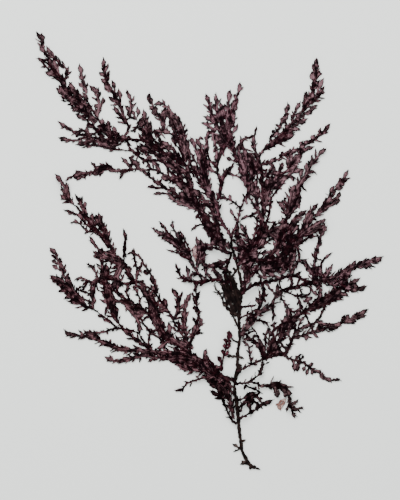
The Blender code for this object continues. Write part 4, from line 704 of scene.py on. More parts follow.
    (NUBBY, 90, 136.5, 84, 134.3, 78, 135, 72, 132.5),
    (NUBBY, 199, 170, 196.5, 164, 193.5, 158, 191, 152),
)
UPPER_LEFT_MATS = (
    (135, 139, 121, 143, 113, 150, 122, 152, 133, 160, 141, 167, 147, 173, 150, 178, 155, 187, 160, 187, 173,
     178, 168, 168, 163, 158, 159, 148, 157, 141, 151, 137, 144, 140, 139, 141, 130),
    (115, 180, 150, 187, 150, 191, 160, 195, 172, 196, 182, 188, 183, 182, 177, 177, 169, 175, 160),
    (130, 167, 172, 178, 170, 187, 176, 188, 184, 194, 192, 201, 207, 195, 208, 184, 204, 173, 197, 171, 192,
     180, 192, 178, 184, 171, 180),
    (130, 56, 88, 62, 83, 68, 84, 74, 92, 82, 99, 90, 107, 98, 120, 92, 122, 84, 113, 74, 109, 66, 103, 58,
     97),
    (130, 100, 121, 106, 123, 113, 129, 120, 136, 127, 140, 118, 146, 106, 147, 98, 143, 91, 139, 98, 133),
    (115, 178, 130, 184, 132, 187, 142, 190, 156, 184, 160, 179, 150, 173, 140, 170, 132, 175, 130),
    (125, 204, 213, 209, 218, 214, 222, 217, 213, 219, 220, 219, 232, 224, 239, 231, 242, 231, 249, 225, 249,
     219, 243, 211, 240, 206, 231, 200, 224),
    (122, 196, 198, 206, 199, 214, 205, 217, 214, 218, 224, 222, 236, 226, 246, 230, 254, 224, 252, 216, 246,
     210, 238, 206, 230, 200, 222, 196, 214, 193, 208, 198, 207, 202, 209, 203, 216, 208, 221, 213, 222, 213,
     214, 209, 207, 203, 205, 197, 205),
    (165, 93, 173, 97, 167, 104, 165, 110, 167, 116, 170, 110, 172, 104, 170, 99, 175),
    (135, 133, 146, 140, 143, 146, 148, 152, 155, 158, 160, 157, 165, 150, 161, 143, 156, 136, 151),
    (125, 165, 160, 175, 162, 184, 167, 187, 175, 179, 176, 172, 171, 167, 167),
    (110, 192, 162, 198, 161, 203, 168, 207, 178, 211, 189, 212, 196, 208, 192, 203, 186, 199, 179, 194,
     170),
)
dress("upper_left_frond", UPPER_LEFT_STRANDS, mats=UPPER_LEFT_MATS, seed=12, material=dried_thallus(
    "upper_left_thallus", dark="060002", body="290b12", pale="664c51", redness=0.8))


# The left frond: a stout trunk low on the axis that opens into a lattice of crossing strands and
# three groups of plumes. Much of it is nearly bare of ramuli.
LEFT_STRANDS = (
    (STOUT, 235, 380, 229, 378.5, 223, 376.5, 216, 373.5, 209, 370.5, 203, 366, 197, 361, 190, 354, 182, 348,
     175, 344, 168, 338, 163, 330, 159, 322, 156, 313, 153, 304, 148, 296, 143, 290, 135, 284, 128, 272, 124,
     265),
    (LEAFY, 144, 355, 136, 356.5, 130, 358.7, 122, 360.3, 115.5, 360.9, 109.5, 359, 104.3, 357),
    (BROAD, 150, 351.5, 141, 350.5, 134, 349.8, 127, 349.5, 120, 349, 115, 347, 109, 344.5, 103, 342.5, 97,
     339.5, 92, 337.5, 85, 336, 78, 335.5, 71, 335, 67, 333, 64, 329.3),
    (LENS, 100, 341, 93, 336, 86, 334),
    (BROAD, 152, 349, 146, 346.5, 141, 343, 136, 339.5, 131, 335.5, 126, 331.5, 121, 329),
    (BARE, 121, 328.5, 127, 329.5, 133, 331, 139, 333.5, 142, 339, 147, 345),
    (BROAD, 206, 371, 199, 370.5, 192, 370, 186, 368, 180, 365, 175, 361.5, 168, 360),
    (NUBBY, 214, 374, 207, 377, 200, 378.5, 194, 381, 188, 382.5, 185.5, 385, 183, 388.5, 179, 390.3, 174,
     390),
    (NUBBY, 217, 373, 212, 367, 208, 362, 205.5, 357, 205, 352, 206.5, 348.5),
    (NUBBY, 190, 353, 190, 345, 186, 341, 183, 336, 178.5, 329, 175, 324, 173, 319.5, 170, 314, 166, 307.5,
     161, 301, 156.5, 295, 152, 290, 146, 286, 140, 283, 135, 281),
    (BROAD, 167, 306.5, 165.5, 302.5, 164, 298.5),
    (NUBBY, 157, 293, 156, 287, 153.5, 281, 151, 275, 147.5, 269, 143.5, 264, 141, 258.5, 136.5, 254.5, 131,
     252.5, 126, 255),
    (NUBBY, 190, 348, 190.5, 343, 192, 337, 194, 331, 196, 325.5, 197.8, 319, 198.3, 313, 197.3, 307, 196.5,
     301, 196.3, 296, 195.5, 288, 195, 283),
    (BARE, 196, 298, 200, 291),
    (BROAD, 189, 348, 187.5, 343, 186.3, 338, 185.5, 332, 185, 325, 184.5, 318, 185, 311, 186, 305, 188, 299,
     190.5, 293),
    (BROAD, 173, 319, 176, 315.5, 178, 311, 178.8, 305, 178, 299, 175.5, 294, 172.5, 288.5),
    (NUBBY, 150, 347, 148.5, 342, 149, 337, 151, 332.5, 156, 329.5, 161, 328),
    (BARE, 147, 328, 149, 332.5, 149, 338),
    (BROAD, 125, 304, 129, 309, 133, 313, 136, 317.5, 138.5, 323, 139.5, 329, 140, 333),
    (NUBBY, 138, 314, 141, 319, 144.5, 325, 149, 329.5, 153, 334.5, 158, 337, 162, 342, 166, 348),
    (NUBBY, 152, 316, 146, 311.5, 140, 306, 134, 304),
    (NUBBY, 137, 307.5, 132, 303, 128, 297, 126.5, 291, 128, 286.5, 131, 284.5),
    (NUBBY, 139, 306, 140, 300.5, 138.5, 295, 135.5, 289.5, 131, 286),
    (BARE, 116, 328, 111, 322, 105, 317.5, 100, 314, 95, 310, 92, 308, 87, 307),
    (NUBBY, 94, 309, 91, 302.5, 85, 299.5, 79, 297, 75, 293.5, 72, 289.5),
    (BROAD, 76, 294.5, 73, 290, 70.5, 285, 67.5, 280, 64, 276),
    (NUBBY, 104, 278, 98, 280, 93, 281.5, 88, 281.5, 84.5, 279, 80.5, 278, 77, 278.5, 74.3, 280.7),
    (NUBBY, 92, 282, 87.5, 282, 85.5, 286, 82.5, 289.5, 78.5, 290.5),
    (NUBBY, 98.5, 280, 96.5, 275, 94.5, 270, 91, 266, 86.3, 263.5),
    (BROAD, 101, 277, 97, 281, 94.5, 287, 93, 294, 94, 300, 93, 306),
    (NUBBY, 109, 303, 106.5, 309, 105, 316),
    (BROAD, 118, 323, 115, 316.5, 112, 309.5, 110, 302, 108.5, 294, 107, 286, 105, 278, 103, 270, 101.5, 262,
     98, 256, 93.2, 250.7),
    (LEAFY, 122, 262, 116, 257, 110, 253.5, 104, 252, 98, 248.5, 93.5, 243, 89.5, 236.5),
    (BROAD, 124, 265, 120.5, 270, 118, 276, 118, 283, 117.5, 291),
    (BARE, 112.5, 262, 110.5, 267, 108.5, 273, 107, 279),
    (NUBBY, 125, 266, 129, 271, 131.5, 276.5, 134.5, 281.5),
    (NUBBY, 133.5, 254, 135, 261, 136.5, 268, 137.5, 275, 135, 282),
    (NUBBY, 142, 262, 140.5, 267, 138, 272, 135.5, 278),
    (STOUT, 100, 277, 107, 277, 114, 279, 120, 282.5, 126, 284, 131, 283, 137, 281.5, 143, 284.5, 149, 288),
    (NUBBY, 124, 265, 119, 260, 114, 254, 110, 247, 105, 239, 100, 232, 95, 227, 91, 221.5, 88, 216),
    (NUBBY, 97, 231.5, 91, 228.5, 85, 223, 80, 217.5, 75, 213.7, 69, 211.3, 63.3, 210),
    (NUBBY, 100, 235, 95, 232, 89, 231.5, 84, 228, 79.5, 223.5, 75, 221.5, 70.3, 223),
    (LEAFY, 100, 226, 97, 220, 95.8, 214.5),
    (LEAFY, 96, 226, 93.5, 220, 91.5, 212.5),
    (NUBBY, 82, 207, 79, 201, 75, 194),
    (NUBBY, 82, 205, 81, 201, 82.5, 196.5),
    (NUBBY, 116, 257, 115, 252, 116, 246.7),
    (STIPE, 124.5, 257, 124.2, 250, 125, 243, 125.3, 237, 124.8, 232, 123.3, 228.7),
    (BROAD, 190, 352, 183, 347, 176, 342, 168, 341, 162, 346, 156, 349),
    (BROAD, 163, 332, 158, 322, 156, 313, 153, 304, 148, 296, 141, 290),
    (NUBBY, 113, 289, 118, 294.5, 124, 298.5, 130, 302, 137, 306),
    (NUBBY, 190, 357, 180, 353.5, 168, 354, 157, 354),
    (BROAD, 92, 308, 86, 306.5, 80, 303.5, 74, 300, 69, 295.5, 64, 290, 59, 284.5, 54, 279.5, 50, 275.7),
    (BROAD, 86, 305, 80, 300.5, 74, 296, 69, 291, 64, 285.5, 59, 281, 54, 277.5, 50.5, 275.3),
    (LEAFY, 77, 297, 71, 291, 66, 285, 61, 280, 56, 276),
    (FINGER, 67, 292, 63, 290.5, 58, 292),
    (FINGER, 72, 298, 68, 297, 64, 299),
    (FINGER, 78, 303, 74, 302, 70, 303.3),
    (FINGER, 104, 317.5, 100.5, 316.5, 97, 314.8),
    (FINGER, 111, 322, 107, 321, 103, 319),
    (BARE, 82, 298, 78, 294, 75.5, 290),
    (LEAFY, 74, 291, 71.5, 286, 69, 281, 67.5, 276.5, 68, 272.5),
    (LEAFY, 67, 280, 63.5, 275, 61.5, 269, 59, 263, 57, 257, 54, 251.5, 49.5, 247.5),
    (LENS, 57, 258, 55, 253, 51.5, 248.5),
    (LENS, 59, 265, 55, 262, 51.5, 260.3),
    (LENS, 61, 271, 57, 268, 52, 265.3),
    (LENS, 57.5, 264, 59.5, 261, 61, 258.3),
    (LENS, 61, 271, 61.5, 267, 61, 263.3),
    (LENS, 63, 277, 64.5, 272, 64.2, 267.5),
    (BARE, 87, 280.5, 83, 284.5, 80, 287.5, 76, 289.5),
    (BARE, 76, 289, 81, 291, 86, 292, 90.5, 295),
    (NUBBY, 98, 280, 93, 284, 91, 289, 91.5, 295, 93, 301),
    (BROAD, 116, 318, 112, 312, 109, 305, 107, 298, 105, 291, 103, 284, 102, 277, 103, 270),
    (BROAD, 112, 311, 111.5, 303, 110.5, 295, 110, 289, 106, 281, 106, 273, 105.5, 265.5),
    (NUBBY, 132, 331.5, 126, 330, 121, 326, 117, 321, 113.5, 314),
    (LEAFY, 107, 276, 107.5, 271, 105.5, 264),
    (BROAD, 119, 264, 113, 262, 107, 259.5, 102, 257, 97.5, 254, 93.3, 251),
    (LEAFY, 112, 258, 106, 256, 101, 252, 96, 247),
    (BROAD, 127, 266, 121, 262, 116, 259, 112, 256),
    (BROAD, 121, 263, 117.5, 270, 115, 276, 114.5, 283, 114, 291),
    (BARE, 126, 268, 127.5, 274, 130.5, 280, 134, 283),
    (FINGER, 127, 267, 129.5, 268, 132, 270),
    (FINGER, 133.5, 255, 133, 249.5),
    (NUBBY, 113, 281, 115, 285, 117, 290, 121, 295, 127, 299),
    (BROAD, 156.5, 292, 155.5, 286, 153, 280, 150, 273.5),
    (FINGER, 149, 273, 146, 272.5, 143, 271.8),
    (NUBBY, 149, 315, 149, 308, 148, 301.5, 145, 296.5, 141, 290),
    (STOUT, 112, 297, 116, 301, 122, 302, 127, 306, 133, 309.5),
    (BROAD, 120, 300, 126, 303, 132, 307, 139, 310, 146, 314),
    (LEAFY, 130, 312, 136, 315, 143, 317),
    (STOUT, 157, 316, 151, 316.5, 147, 317, 143, 320),
    (NUBBY, 150, 316, 153, 321, 155.5, 326.5, 158, 330.5),
    (STOUT, 116, 317, 117.5, 312, 116.5, 306),
    (BROAD, 167, 337, 161, 327, 158, 317, 156.5, 308, 152, 299, 146, 291, 139, 285),
    (BROAD, 155, 322, 154, 314, 151, 306, 149, 299),
    (BROAD, 158, 312, 162, 311.5, 166, 310, 169, 313.5),
    (LEAFY, 158, 305, 163, 306.5, 168, 309),
    (BARE, 158, 298, 163, 304, 168, 311, 170, 316),
    (BROAD, 172, 345, 170, 337, 169.5, 329, 168.5, 321.5),
    (NUBBY, 172, 343, 166, 339, 160, 333.5, 156, 329),
    (NUBBY, 184, 331, 178, 331.5, 173, 328, 170, 324),
    (STOUT, 179, 331, 178.5, 325, 179, 319.5),
    (BROAD, 193, 348, 186, 344, 178, 341, 171, 338, 164, 333),
    (NUBBY, 123, 329, 117, 328, 111, 329.5, 106, 331.5, 100, 332.5, 93, 333, 86, 332),
    (BROAD, 194, 356, 186, 353, 178, 352, 170, 352.5, 162, 352, 154, 352.5, 146, 352.5, 139, 351),
    (BROAD, 192, 359, 184, 357.5, 176, 357.5, 168, 358, 160, 358, 152, 357, 145, 355.5, 139, 354),
    (FINGER, 155, 358, 152, 359.5, 148.5, 361.5),
    (BROAD, 203, 367.5, 196, 366, 189, 364.5, 182, 361.5, 175, 359),
    (NUBBY, 188, 370, 182, 369, 178, 364),
    (BROAD, 229, 379.5, 220, 376.5, 211, 371, 203, 364, 196, 357),
    (BROAD, 224, 381, 214, 376.5, 205, 369.5, 197, 361, 190, 354),
    (BARE, 219, 372, 214, 366, 209, 359, 207, 354),
    (BROAD, 204, 359, 205, 353.5, 206.5, 348.7),
    (STOUT, 196, 333.5, 200, 333, 203.5, 332.7),
    (NUBBY, 173, 293, 172.5, 289.5, 175.5, 290.5),
    (BROAD, 113, 252, 109, 244, 106, 236, 103, 228, 100.5, 221, 98.5, 212.5),
    (BROAD, 111, 247, 107, 239, 104.5, 232, 101.5, 224, 99.5, 217),
    (NUBBY, 104, 238, 98, 231.5, 92, 226, 87.5, 219, 84, 212, 81.3, 205, 79, 199.5),
    (BARE, 96, 230, 90, 224, 85, 217, 80, 210.5, 76, 206, 71.5, 202.7),
    (BARE, 95, 230, 88, 222, 82, 214.5, 77, 208),
    (LENS, 83, 210, 85, 205.5, 84.5, 201.5),
    (LEAFY, 74, 204.5, 70, 200, 67, 194, 65.5, 188, 64.5, 183.5),
    (NUBBY, 71, 202, 66, 197.5, 62.7, 191, 61.3, 185.5),
    (LEAFY, 71.5, 202, 68.7, 195, 67.3, 188.5, 66.3, 182),
    (LEAFY, 70, 202, 65, 199, 60, 194),
    (BROAD, 65, 187, 62, 182.5, 58.5, 178, 54.8, 174),
    (LENS, 86, 224, 81, 217, 76, 213.5),
    (BARE, 109, 248, 104, 242, 100, 236, 95, 232),
    (FINGER, 101, 235, 99.5, 238),
    (NUBBY, 136, 351, 129, 350.8, 121, 350.6, 113, 347.5, 106, 345.2, 100, 342, 95, 339, 89, 337.3, 82,
     336.3),
    (NUBBY, 126, 348.6, 118, 347.2, 112, 344.2, 106, 341.8, 101, 340),
    (NUBBY, 100, 339.5, 97, 335.5, 92, 334, 87, 332, 83, 333.5),
    (NUBBY, 141, 357, 134, 358.3, 129, 360.3, 122, 361.3, 116, 361.6),
    (NUBBY, 137, 355.5, 131, 357.4, 125, 358.2, 119, 359.2),
    (LEAFY, 194.5, 333, 197.5, 330, 199.3, 325.5, 201.3, 321, 200.8, 318.3, 199.5, 317.5),
    (NUBBY, 183.7, 333, 183.3, 325, 183, 318, 183.5, 311, 182.3, 309),
    (FINGER, 178, 310, 176.5, 307.5, 174.5, 305.7),
    (FINGER, 195.7, 323.5, 194.3, 320.5, 192.7, 317),
    (LEAFY, 191, 341, 192, 335, 194, 329.5, 196.5, 324),
    (STOUT, 197, 309, 199, 312, 200.3, 314.3),
    (NUBBY, 197, 305, 194.7, 302, 193, 298.7),
    (LENS, 196, 312.5, 194.7, 308.5, 193.7, 305.7),
    (NUBBY, 196.5, 298, 198, 295, 200, 291.7),
    (NUBBY, 195, 299, 193, 295.5, 191.7, 292),
    (FINGER, 121, 281, 122.5, 277.5, 124, 274),
    (LEAFY, 88, 219, 84.5, 212, 82.3, 207, 80.5, 203),
    (FINGER, 124.9, 246, 125.3, 240, 125, 235, 124.2, 231.5, 123.3, 228.7),
)
LEFT_MATS = (
    (130, 140, 284, 146, 287, 154, 293, 158, 300, 162, 310, 163, 322, 168, 334, 174, 343, 166, 344, 158, 336,
     152, 325, 152, 312, 148, 300, 143, 291, 138, 287),
    (105, 101, 262, 108, 264, 109, 278, 113, 288, 114, 298, 113, 308, 110, 313, 106, 306, 104, 296, 101, 286,
     98, 278, 102, 272),
    (140, 112, 254, 122, 256, 128, 264, 122, 270, 121, 282, 119, 290, 114, 290, 112, 280, 113, 268, 110,
     262),
    (145, 96, 248, 104, 250, 112, 253, 112, 262, 104, 258, 98, 256),
    (150, 116, 292, 124, 296, 132, 302, 140, 306, 150, 314, 150, 319, 142, 317, 134, 312, 126, 307, 118,
     300),
    (178, 142, 349, 156, 350, 170, 350, 176, 350, 190, 351, 200, 356, 208, 357, 218, 362, 220, 368, 206, 370,
     188, 369, 176, 361, 160, 359, 148, 358, 142, 356),
    (150, 162, 328, 168, 326, 172, 334, 178, 342, 190, 346, 184, 350, 174, 348, 164, 350, 163, 342),
    (142, 187, 347, 193, 352, 202, 359, 213, 367, 224, 375, 233, 379, 230, 383, 220, 380, 210, 378, 203, 374,
     198, 368, 190, 362, 186, 354),
    (115, 98, 216, 101, 223, 105, 231, 108, 239, 111, 246, 108, 247, 104, 240, 100, 233, 97, 226, 96, 220),
)
dress("left_frond", LEFT_STRANDS, mats=LEFT_MATS, seed=13, material=dried_thallus(
    "left_thallus", dark="060002", body="2a080f", pale="66494e", redness=0.75))


# The red sprig: a small young spray beside the axis that has kept its wine-red colour.
RED_SPRIG_STRANDS = (
    (BARE, 222, 370.5, 222, 363, 223.5, 356, 225.5, 348, 227, 340, 229, 331),
    (BROAD, 222, 363.5, 220, 360, 218, 356),
    (BROAD, 227.5, 338, 228.7, 334, 229, 330),
    (LENS, 228, 339, 230.5, 336.5, 231, 333),
    (LENS, 227, 343, 225.2, 341, 225, 337.5),
    (LENS, 227, 345, 229, 343, 229, 339),
    (LENS, 226, 349, 224, 347, 224, 343.5),
    (LENS, 226, 349, 228, 347, 230, 343.5),
    (LENS, 224.5, 355, 222.5, 352.5, 223, 349),
    (LENS, 224.5, 355.5, 227, 353.3, 228.5, 350.5),
    (LENS, 222.5, 369, 221, 367, 220, 364.5),
    (FINGER, 222, 371, 219, 369, 217, 367),
)
dress("red_sprig", RED_SPRIG_STRANDS, seed=14, material=dried_thallus(
    "red_thallus", dark="120306", body="320c15", pale="5c323c", redness=0.9))


# The left basal frond: short matted strands between the axis and the left frond, dried black.
LEFT_BASAL_STRANDS = (
    (NUBBY, 236.5, 424, 232.5, 421, 229.5, 415.5, 226.5, 409, 223.5, 402, 220.5, 396.5),
    (BROAD, 234, 413, 231, 404, 229, 396, 225, 389, 219, 382, 212, 376.5, 204, 370),
    (BROAD, 223, 400, 220, 391, 216, 385, 210, 380, 203, 375),
    (BROAD, 222, 398, 216, 394, 209.7, 390.3),
    (BROAD, 230, 400, 225, 392, 219, 385.5, 212, 380, 205, 374),
    (NUBBY, 235, 396, 231, 391, 227, 386, 222, 381, 216, 377),
    (LEAFY, 234, 419, 231.5, 411.5, 231, 404, 229, 398),
    (BARE, 223, 404, 228, 405.5, 232, 405),
)
LEFT_BASAL_MATS = (
    (130, 204, 369, 214, 374, 224, 378, 232, 384, 234, 396, 230, 402, 222, 396, 216, 387, 208, 379),
)
dress("left_basal_frond", LEFT_BASAL_STRANDS, mats=LEFT_BASAL_MATS, seed=15, material=dried_thallus(
    "left_basal_thallus", dark="040001", body="160609", pale="4a3034", redness=0.5))


# The right basal frond: a low arm and a tangle of short strands against the axis, dried black.
RIGHT_BASAL_STRANDS = (
    (NUBBY, 238.5, 417.5, 243, 416.5, 249, 413.5, 255, 410, 262, 405.5, 267, 402.5, 274, 399),
    (BARE, 251, 412.5, 251, 416),
    (NUBBY, 251, 412, 249.5, 406, 248, 400, 246, 396, 249, 392),
    (NUBBY, 238, 409, 241, 405, 245, 401, 250, 398, 257, 396),
    (NUBBY, 236, 399.5, 240, 399, 245, 397, 250, 393.5, 256, 392),
    (NUBBY, 246, 384.5, 249, 387.3, 255, 389, 259, 392, 257, 396, 260, 400, 262, 405),
    (BROAD, 256, 409, 262, 404.5, 268, 402, 272.5, 400),
    (BROAD, 247, 398, 249, 404, 249.5, 409),
    (NUBBY, 240, 412, 242, 407, 246, 402, 253, 401),
    (NUBBY, 250, 398, 255, 402, 260, 404),
    (BROAD, 245, 399, 250, 395, 255, 393),
)
RIGHT_BASAL_MATS = (
    (80, 246, 392, 256, 390, 259, 397, 257, 402, 250, 403, 246, 400),
)
dress("right_basal_frond", RIGHT_BASAL_STRANDS, mats=RIGHT_BASAL_MATS, seed=16, material=dried_thallus(
    "right_basal_thallus", dark="040001", body="160609", pale="4a3034", redness=0.5))


# The right arched frond: one strand that arches over to the right and ends in a claw of ramuli.
RIGHT_ARCHED_STRANDS = (
    (NUBBY, 234.5, 383, 243, 383, 249, 382, 256, 383, 260, 385.5, 266, 385.5, 270, 385),
    (STOUT, 266, 385.5, 272, 384.5, 278, 385, 283, 387, 287, 391, 289.3, 395.5, 289, 400, 290, 405),
    (BROAD, 274.5, 388, 275.5, 392.5, 278.5, 397.5),
    (FINGER, 283.5, 389, 284, 393, 285.5, 397.5),
    (NUBBY, 290, 403, 292.5, 406.5, 296, 409.5, 299.5, 408, 304, 408.7),
    (NUBBY, 290, 404, 294, 403, 299, 399.5),
    (BARE, 296, 409, 298.5, 410.5, 301, 412.5),
    (NUBBY, 291, 406, 292, 411, 293.5, 415, 297.5, 416.5),
    (NUBBY, 290, 402, 288, 405.5, 286.7, 411.5),
    (NUBBY, 247, 382.5, 252, 379.5, 257, 376, 260.5, 372, 262, 367, 263, 361),
    (BROAD, 268, 386, 274, 383, 281, 384, 286, 388, 289, 393, 289, 399),
    (BROAD, 265, 385.5, 272, 386.5, 279, 387, 284, 390, 287, 394.5),
    (LENS, 275, 387, 278, 391, 278.5, 396.5),
    (LENS, 284, 390, 286, 393.5, 286, 397),
    (LEAFY, 256, 382, 260, 385.5, 266, 386),
    (BROAD, 289.5, 400, 291, 405, 294, 408.5, 298, 411),
    (NUBBY, 259, 373.5, 261, 368, 262.5, 362, 264, 359),
    (BARE, 262, 366, 265.5, 363.5, 270, 361.7),
)
RIGHT_ARCHED_MATS = (
    (170, 268, 382, 276, 381, 284, 384, 290, 392, 288, 397, 283, 390, 276, 388, 269, 388),
)
dress("right_arched_frond", RIGHT_ARCHED_STRANDS, mats=RIGHT_ARCHED_MATS, seed=17, material=dried_thallus(
    "right_arched_thallus", dark="050001", body="220a0e", pale="5c4849", redness=0.65))


# The lower right frond: a meshwork of strands near the axis, with slender sprays to the right.
RIGHT_LOW_STRANDS = (
    (NUBBY, 236.5, 371, 241, 369.5, 247, 366.5, 254, 363, 261, 360, 268, 358, 275, 356, 281, 355, 286, 357,
     290, 359, 296, 360.5, 301, 361.5, 306, 364.5, 311, 368.5, 317, 372, 321, 374, 325, 377, 329, 379.5, 334,
     380, 338, 379, 341, 380.5),
    (LENS, 293, 360, 294, 366, 294.3, 370.5),
    (BROAD, 299, 362, 298, 367, 296.7, 371.5),
    (NUBBY, 295, 361, 297, 357, 300, 354.8, 302.7, 354),
    (LENS, 310, 368, 307.7, 371, 306, 375),
    (LENS, 311, 369, 312, 372, 312.7, 375),
    (LENS, 308, 366, 313, 363.5),
    (LENS, 306, 364.5, 304.3, 368, 302.5, 371),
    (LENS, 317, 372, 320.5, 371),
    (BROAD, 323, 376, 327, 379, 333, 380.5),
    (STOUT, 265, 359, 261, 352, 258.5, 345, 253, 340.5, 247, 339, 241, 339),
    (BARE, 263.5, 355, 262, 346, 258, 336, 254, 330, 250, 325),
    (NUBBY, 251.5, 364, 250, 358, 249.5, 350, 248, 345, 244, 342, 240.5, 340),
    (BARE, 249.5, 352.5, 246, 350),
    (NUBBY, 264, 357, 264.5, 350, 265.5, 343, 265, 337, 267, 331.5, 269, 327),
    (NUBBY, 269, 357, 269, 350, 269, 344, 269, 338, 270, 332, 269, 327),
    (STOUT, 266, 358, 270, 353, 275, 349.5, 280, 350.5, 284, 354),
    (STOUT, 269, 353, 271, 345, 273.5, 338, 273, 331, 279, 326, 286, 321, 292, 318.5, 299, 316, 305, 311,
     311, 306.5, 318, 303),
    (NUBBY, 271, 344, 275, 341.5, 281, 343, 283.5, 347.5, 288, 348, 292, 346.5),
    (BARE, 275, 341, 275.5, 336.5, 279, 333.5, 284, 335, 284.5, 339, 281, 342),
    (BROAD, 279, 326, 280, 331, 283, 334, 287, 333, 290, 337.5),
    (NUBBY, 284, 355, 287, 352, 290, 345, 292.5, 339, 294, 334, 295, 328, 294, 320),
    (BROAD, 287, 321, 286.5, 326, 284, 331),
    (BARE, 281, 325, 283.5, 319.5),
    (BROAD, 293, 338, 299, 336.3, 306, 334.5, 313, 331.5, 320, 329.5, 328, 327.8, 338, 328.7),
    (LENS, 303, 334.5, 306, 337, 306, 341),
    (FINGER, 311, 331.5, 315, 335, 318.5, 338),
    (LEAFY, 295, 332, 299, 328.5, 305, 327, 309, 324.5, 312, 322.5),
    (BARE, 305, 311, 306.5, 317, 309, 322, 311, 327, 311, 331),
    (FINGER, 324, 302, 323.5, 309, 321, 315, 317, 320.5, 312.5, 325, 311.5, 331),
    (BROAD, 316, 321, 323, 323.5, 329, 325, 336, 325, 343, 323),
    (LENS, 320, 324, 328, 326, 336, 326),
    (LEAFY, 345, 322, 352, 318, 357, 316, 362, 313, 367.5, 309.5),
    (LENS, 341, 323, 343, 318, 344.7, 315),
    (LENS, 345.5, 321, 347, 317, 348.7, 314.3),
    (BARE, 357, 316, 361, 315, 365, 315.5),
    (FINGER, 318.5, 330, 318.5, 324),
    (STOUT, 308, 305, 314, 304, 320, 301, 327, 297.5, 333, 293.5, 338, 289.5, 343, 286, 348, 283),
    (BROAD, 308, 309, 316, 308, 322, 306, 328, 302, 334, 297, 341, 290),
    (BROAD, 345, 287, 350, 283.5, 355, 281, 360, 278.3),
    (BROAD, 344, 289, 351, 289, 357, 289.5, 362, 288.7, 367, 285.7),
    (LEAFY, 345, 289, 352, 290.3, 358.5, 291.8),
    (LENS, 347, 286, 353, 285.5, 358, 287),
    (LENS, 333, 296, 337, 297.5, 342, 297),
    (BROAD, 333, 299, 338, 296, 342, 294, 345, 294.5, 348.7, 296.7),
    (BROAD, 275, 349.5, 278, 342, 282, 336, 285, 327, 290, 321),
    (LEAFY, 303, 312, 310, 309.5, 317, 306, 324, 301.5, 331, 297),
    (BROAD, 309, 311, 316, 307, 323, 303.5, 330, 299, 336, 294, 342, 289),
    (BROAD, 314, 300, 320, 299, 327, 295.5, 333, 291, 339, 287),
    (LEAFY, 347, 287, 353, 286, 359, 287),
    (LEAFY, 340, 323.5, 346, 322, 351, 322, 355, 323.7),
    (LEAFY, 346, 322.5, 352, 318.5, 357, 316, 361, 313.5, 364.5, 311, 368, 309.2),
    (LEAFY, 350, 320.5, 356, 318, 361, 316.5, 366, 315),
    (BROAD, 341, 323, 343, 318.5, 345, 314.7),
    (LEAFY, 345, 322, 347, 318, 349, 314),
    (BROAD, 288, 334, 290, 327, 293, 320.5, 297, 314.5),
    (BROAD, 283, 330, 286, 323.5, 290, 317.5, 291, 311),
    (LEAFY, 281, 334, 281, 328, 284, 321, 288, 315),
    (LEAFY, 287, 320, 287, 313, 286, 307),
    (NUBBY, 265, 358, 261.5, 351, 258.5, 345.3, 253.5, 341.5),
    (LEAFY, 266, 356, 263, 349, 261, 343, 257, 339),
    (BROAD, 267, 357, 273, 352, 279, 352, 285, 353),
    (LEAFY, 269, 355, 270, 349, 274, 345, 277, 341),
    (NUBBY, 283, 354, 288, 349, 290.5, 342, 293, 335),
    (NUBBY, 297, 361.5, 300, 360, 302.7, 357.5, 303, 354.5),
    (BROAD, 293, 361, 294.3, 366, 294.5, 371.5),
    (BROAD, 321, 373, 322, 376.5, 323, 380),
    (BROAD, 314, 371, 318, 371, 321.5, 372),
    (NUBBY, 298.5, 325, 301.5, 320.5, 305, 316),
    (FINGER, 271, 326, 274, 323.8, 277.5, 322.3),
)
RIGHT_LOW_MATS = (
    (30, 312, 302, 318, 299, 326, 297, 334, 292, 342, 288, 348, 284, 350, 289, 344, 294, 338, 300, 330, 304,
     324, 308, 316, 310, 308, 313, 306, 308),
    (60, 286, 308, 291, 311, 298, 312, 303, 312, 300, 318, 296, 324, 291, 330, 286, 333, 281, 330, 284, 322,
     287, 316),
    (0, 322, 322, 332, 323, 340, 323, 340, 329, 332, 330, 323, 329),
    (130, 240, 335, 248, 335, 256, 337, 262, 341, 265, 350, 266, 358, 263, 357, 260, 349, 256, 343, 248, 341,
     241, 341),
    (10, 266, 352, 272, 347, 280, 349, 286, 352, 287, 356, 278, 357, 268, 360),
)
dress("right_low_frond", RIGHT_LOW_STRANDS, mats=RIGHT_LOW_MATS, seed=18, material=dried_thallus(
    "right_low_thallus", dark="060002", body="280a10", pale="654c50", redness=0.75))


# The right inner frond: short crossing strands close to the axis.
RIGHT_INNER_STRANDS = (
    (BROAD, 240, 335, 243, 331, 247, 327, 250, 321, 254, 315, 260, 311.5, 267, 307.5, 272, 303, 275, 297,
     277, 290, 277.5, 283),
    (NUBBY, 259.5, 306, 260, 300, 260, 295, 258.5, 289.5),
    (NUBBY, 272, 303, 273, 310, 273.5, 316, 272, 321.5),
    (NUBBY, 240, 308, 244, 306.5, 250, 306, 257, 305),
    (NUBBY, 240, 318, 245, 315.5, 249, 314, 253, 313),
    (NUBBY, 246, 321, 250, 316, 253, 311),
    (NUBBY, 252, 319, 256, 320, 262, 321, 266, 323, 269, 327.5),
    (BARE, 241, 336, 247, 334, 251, 331.5, 255, 332),
    (NUBBY, 243, 331, 246, 335, 251, 338.5, 255, 335.5, 259, 338),
    (BARE, 262, 299, 265, 296, 268.5, 294),
    (NUBBY, 276, 294, 272, 291, 268, 286, 264, 282),
    (BROAD, 276, 296, 279, 293, 283, 290.5),
    (LEAFY, 243, 333, 247, 329.5, 251, 324, 255, 317.5, 262, 312, 269, 308.5),
    (LEAFY, 271, 309, 272, 305.5, 274, 302),
    (LEAFY, 260, 305, 257.5, 300.5, 255.3, 297),
    (STOUT, 262, 283, 263.3, 289, 263.3, 295, 262, 301, 259, 307, 256, 312, 253, 318, 250, 325),
)
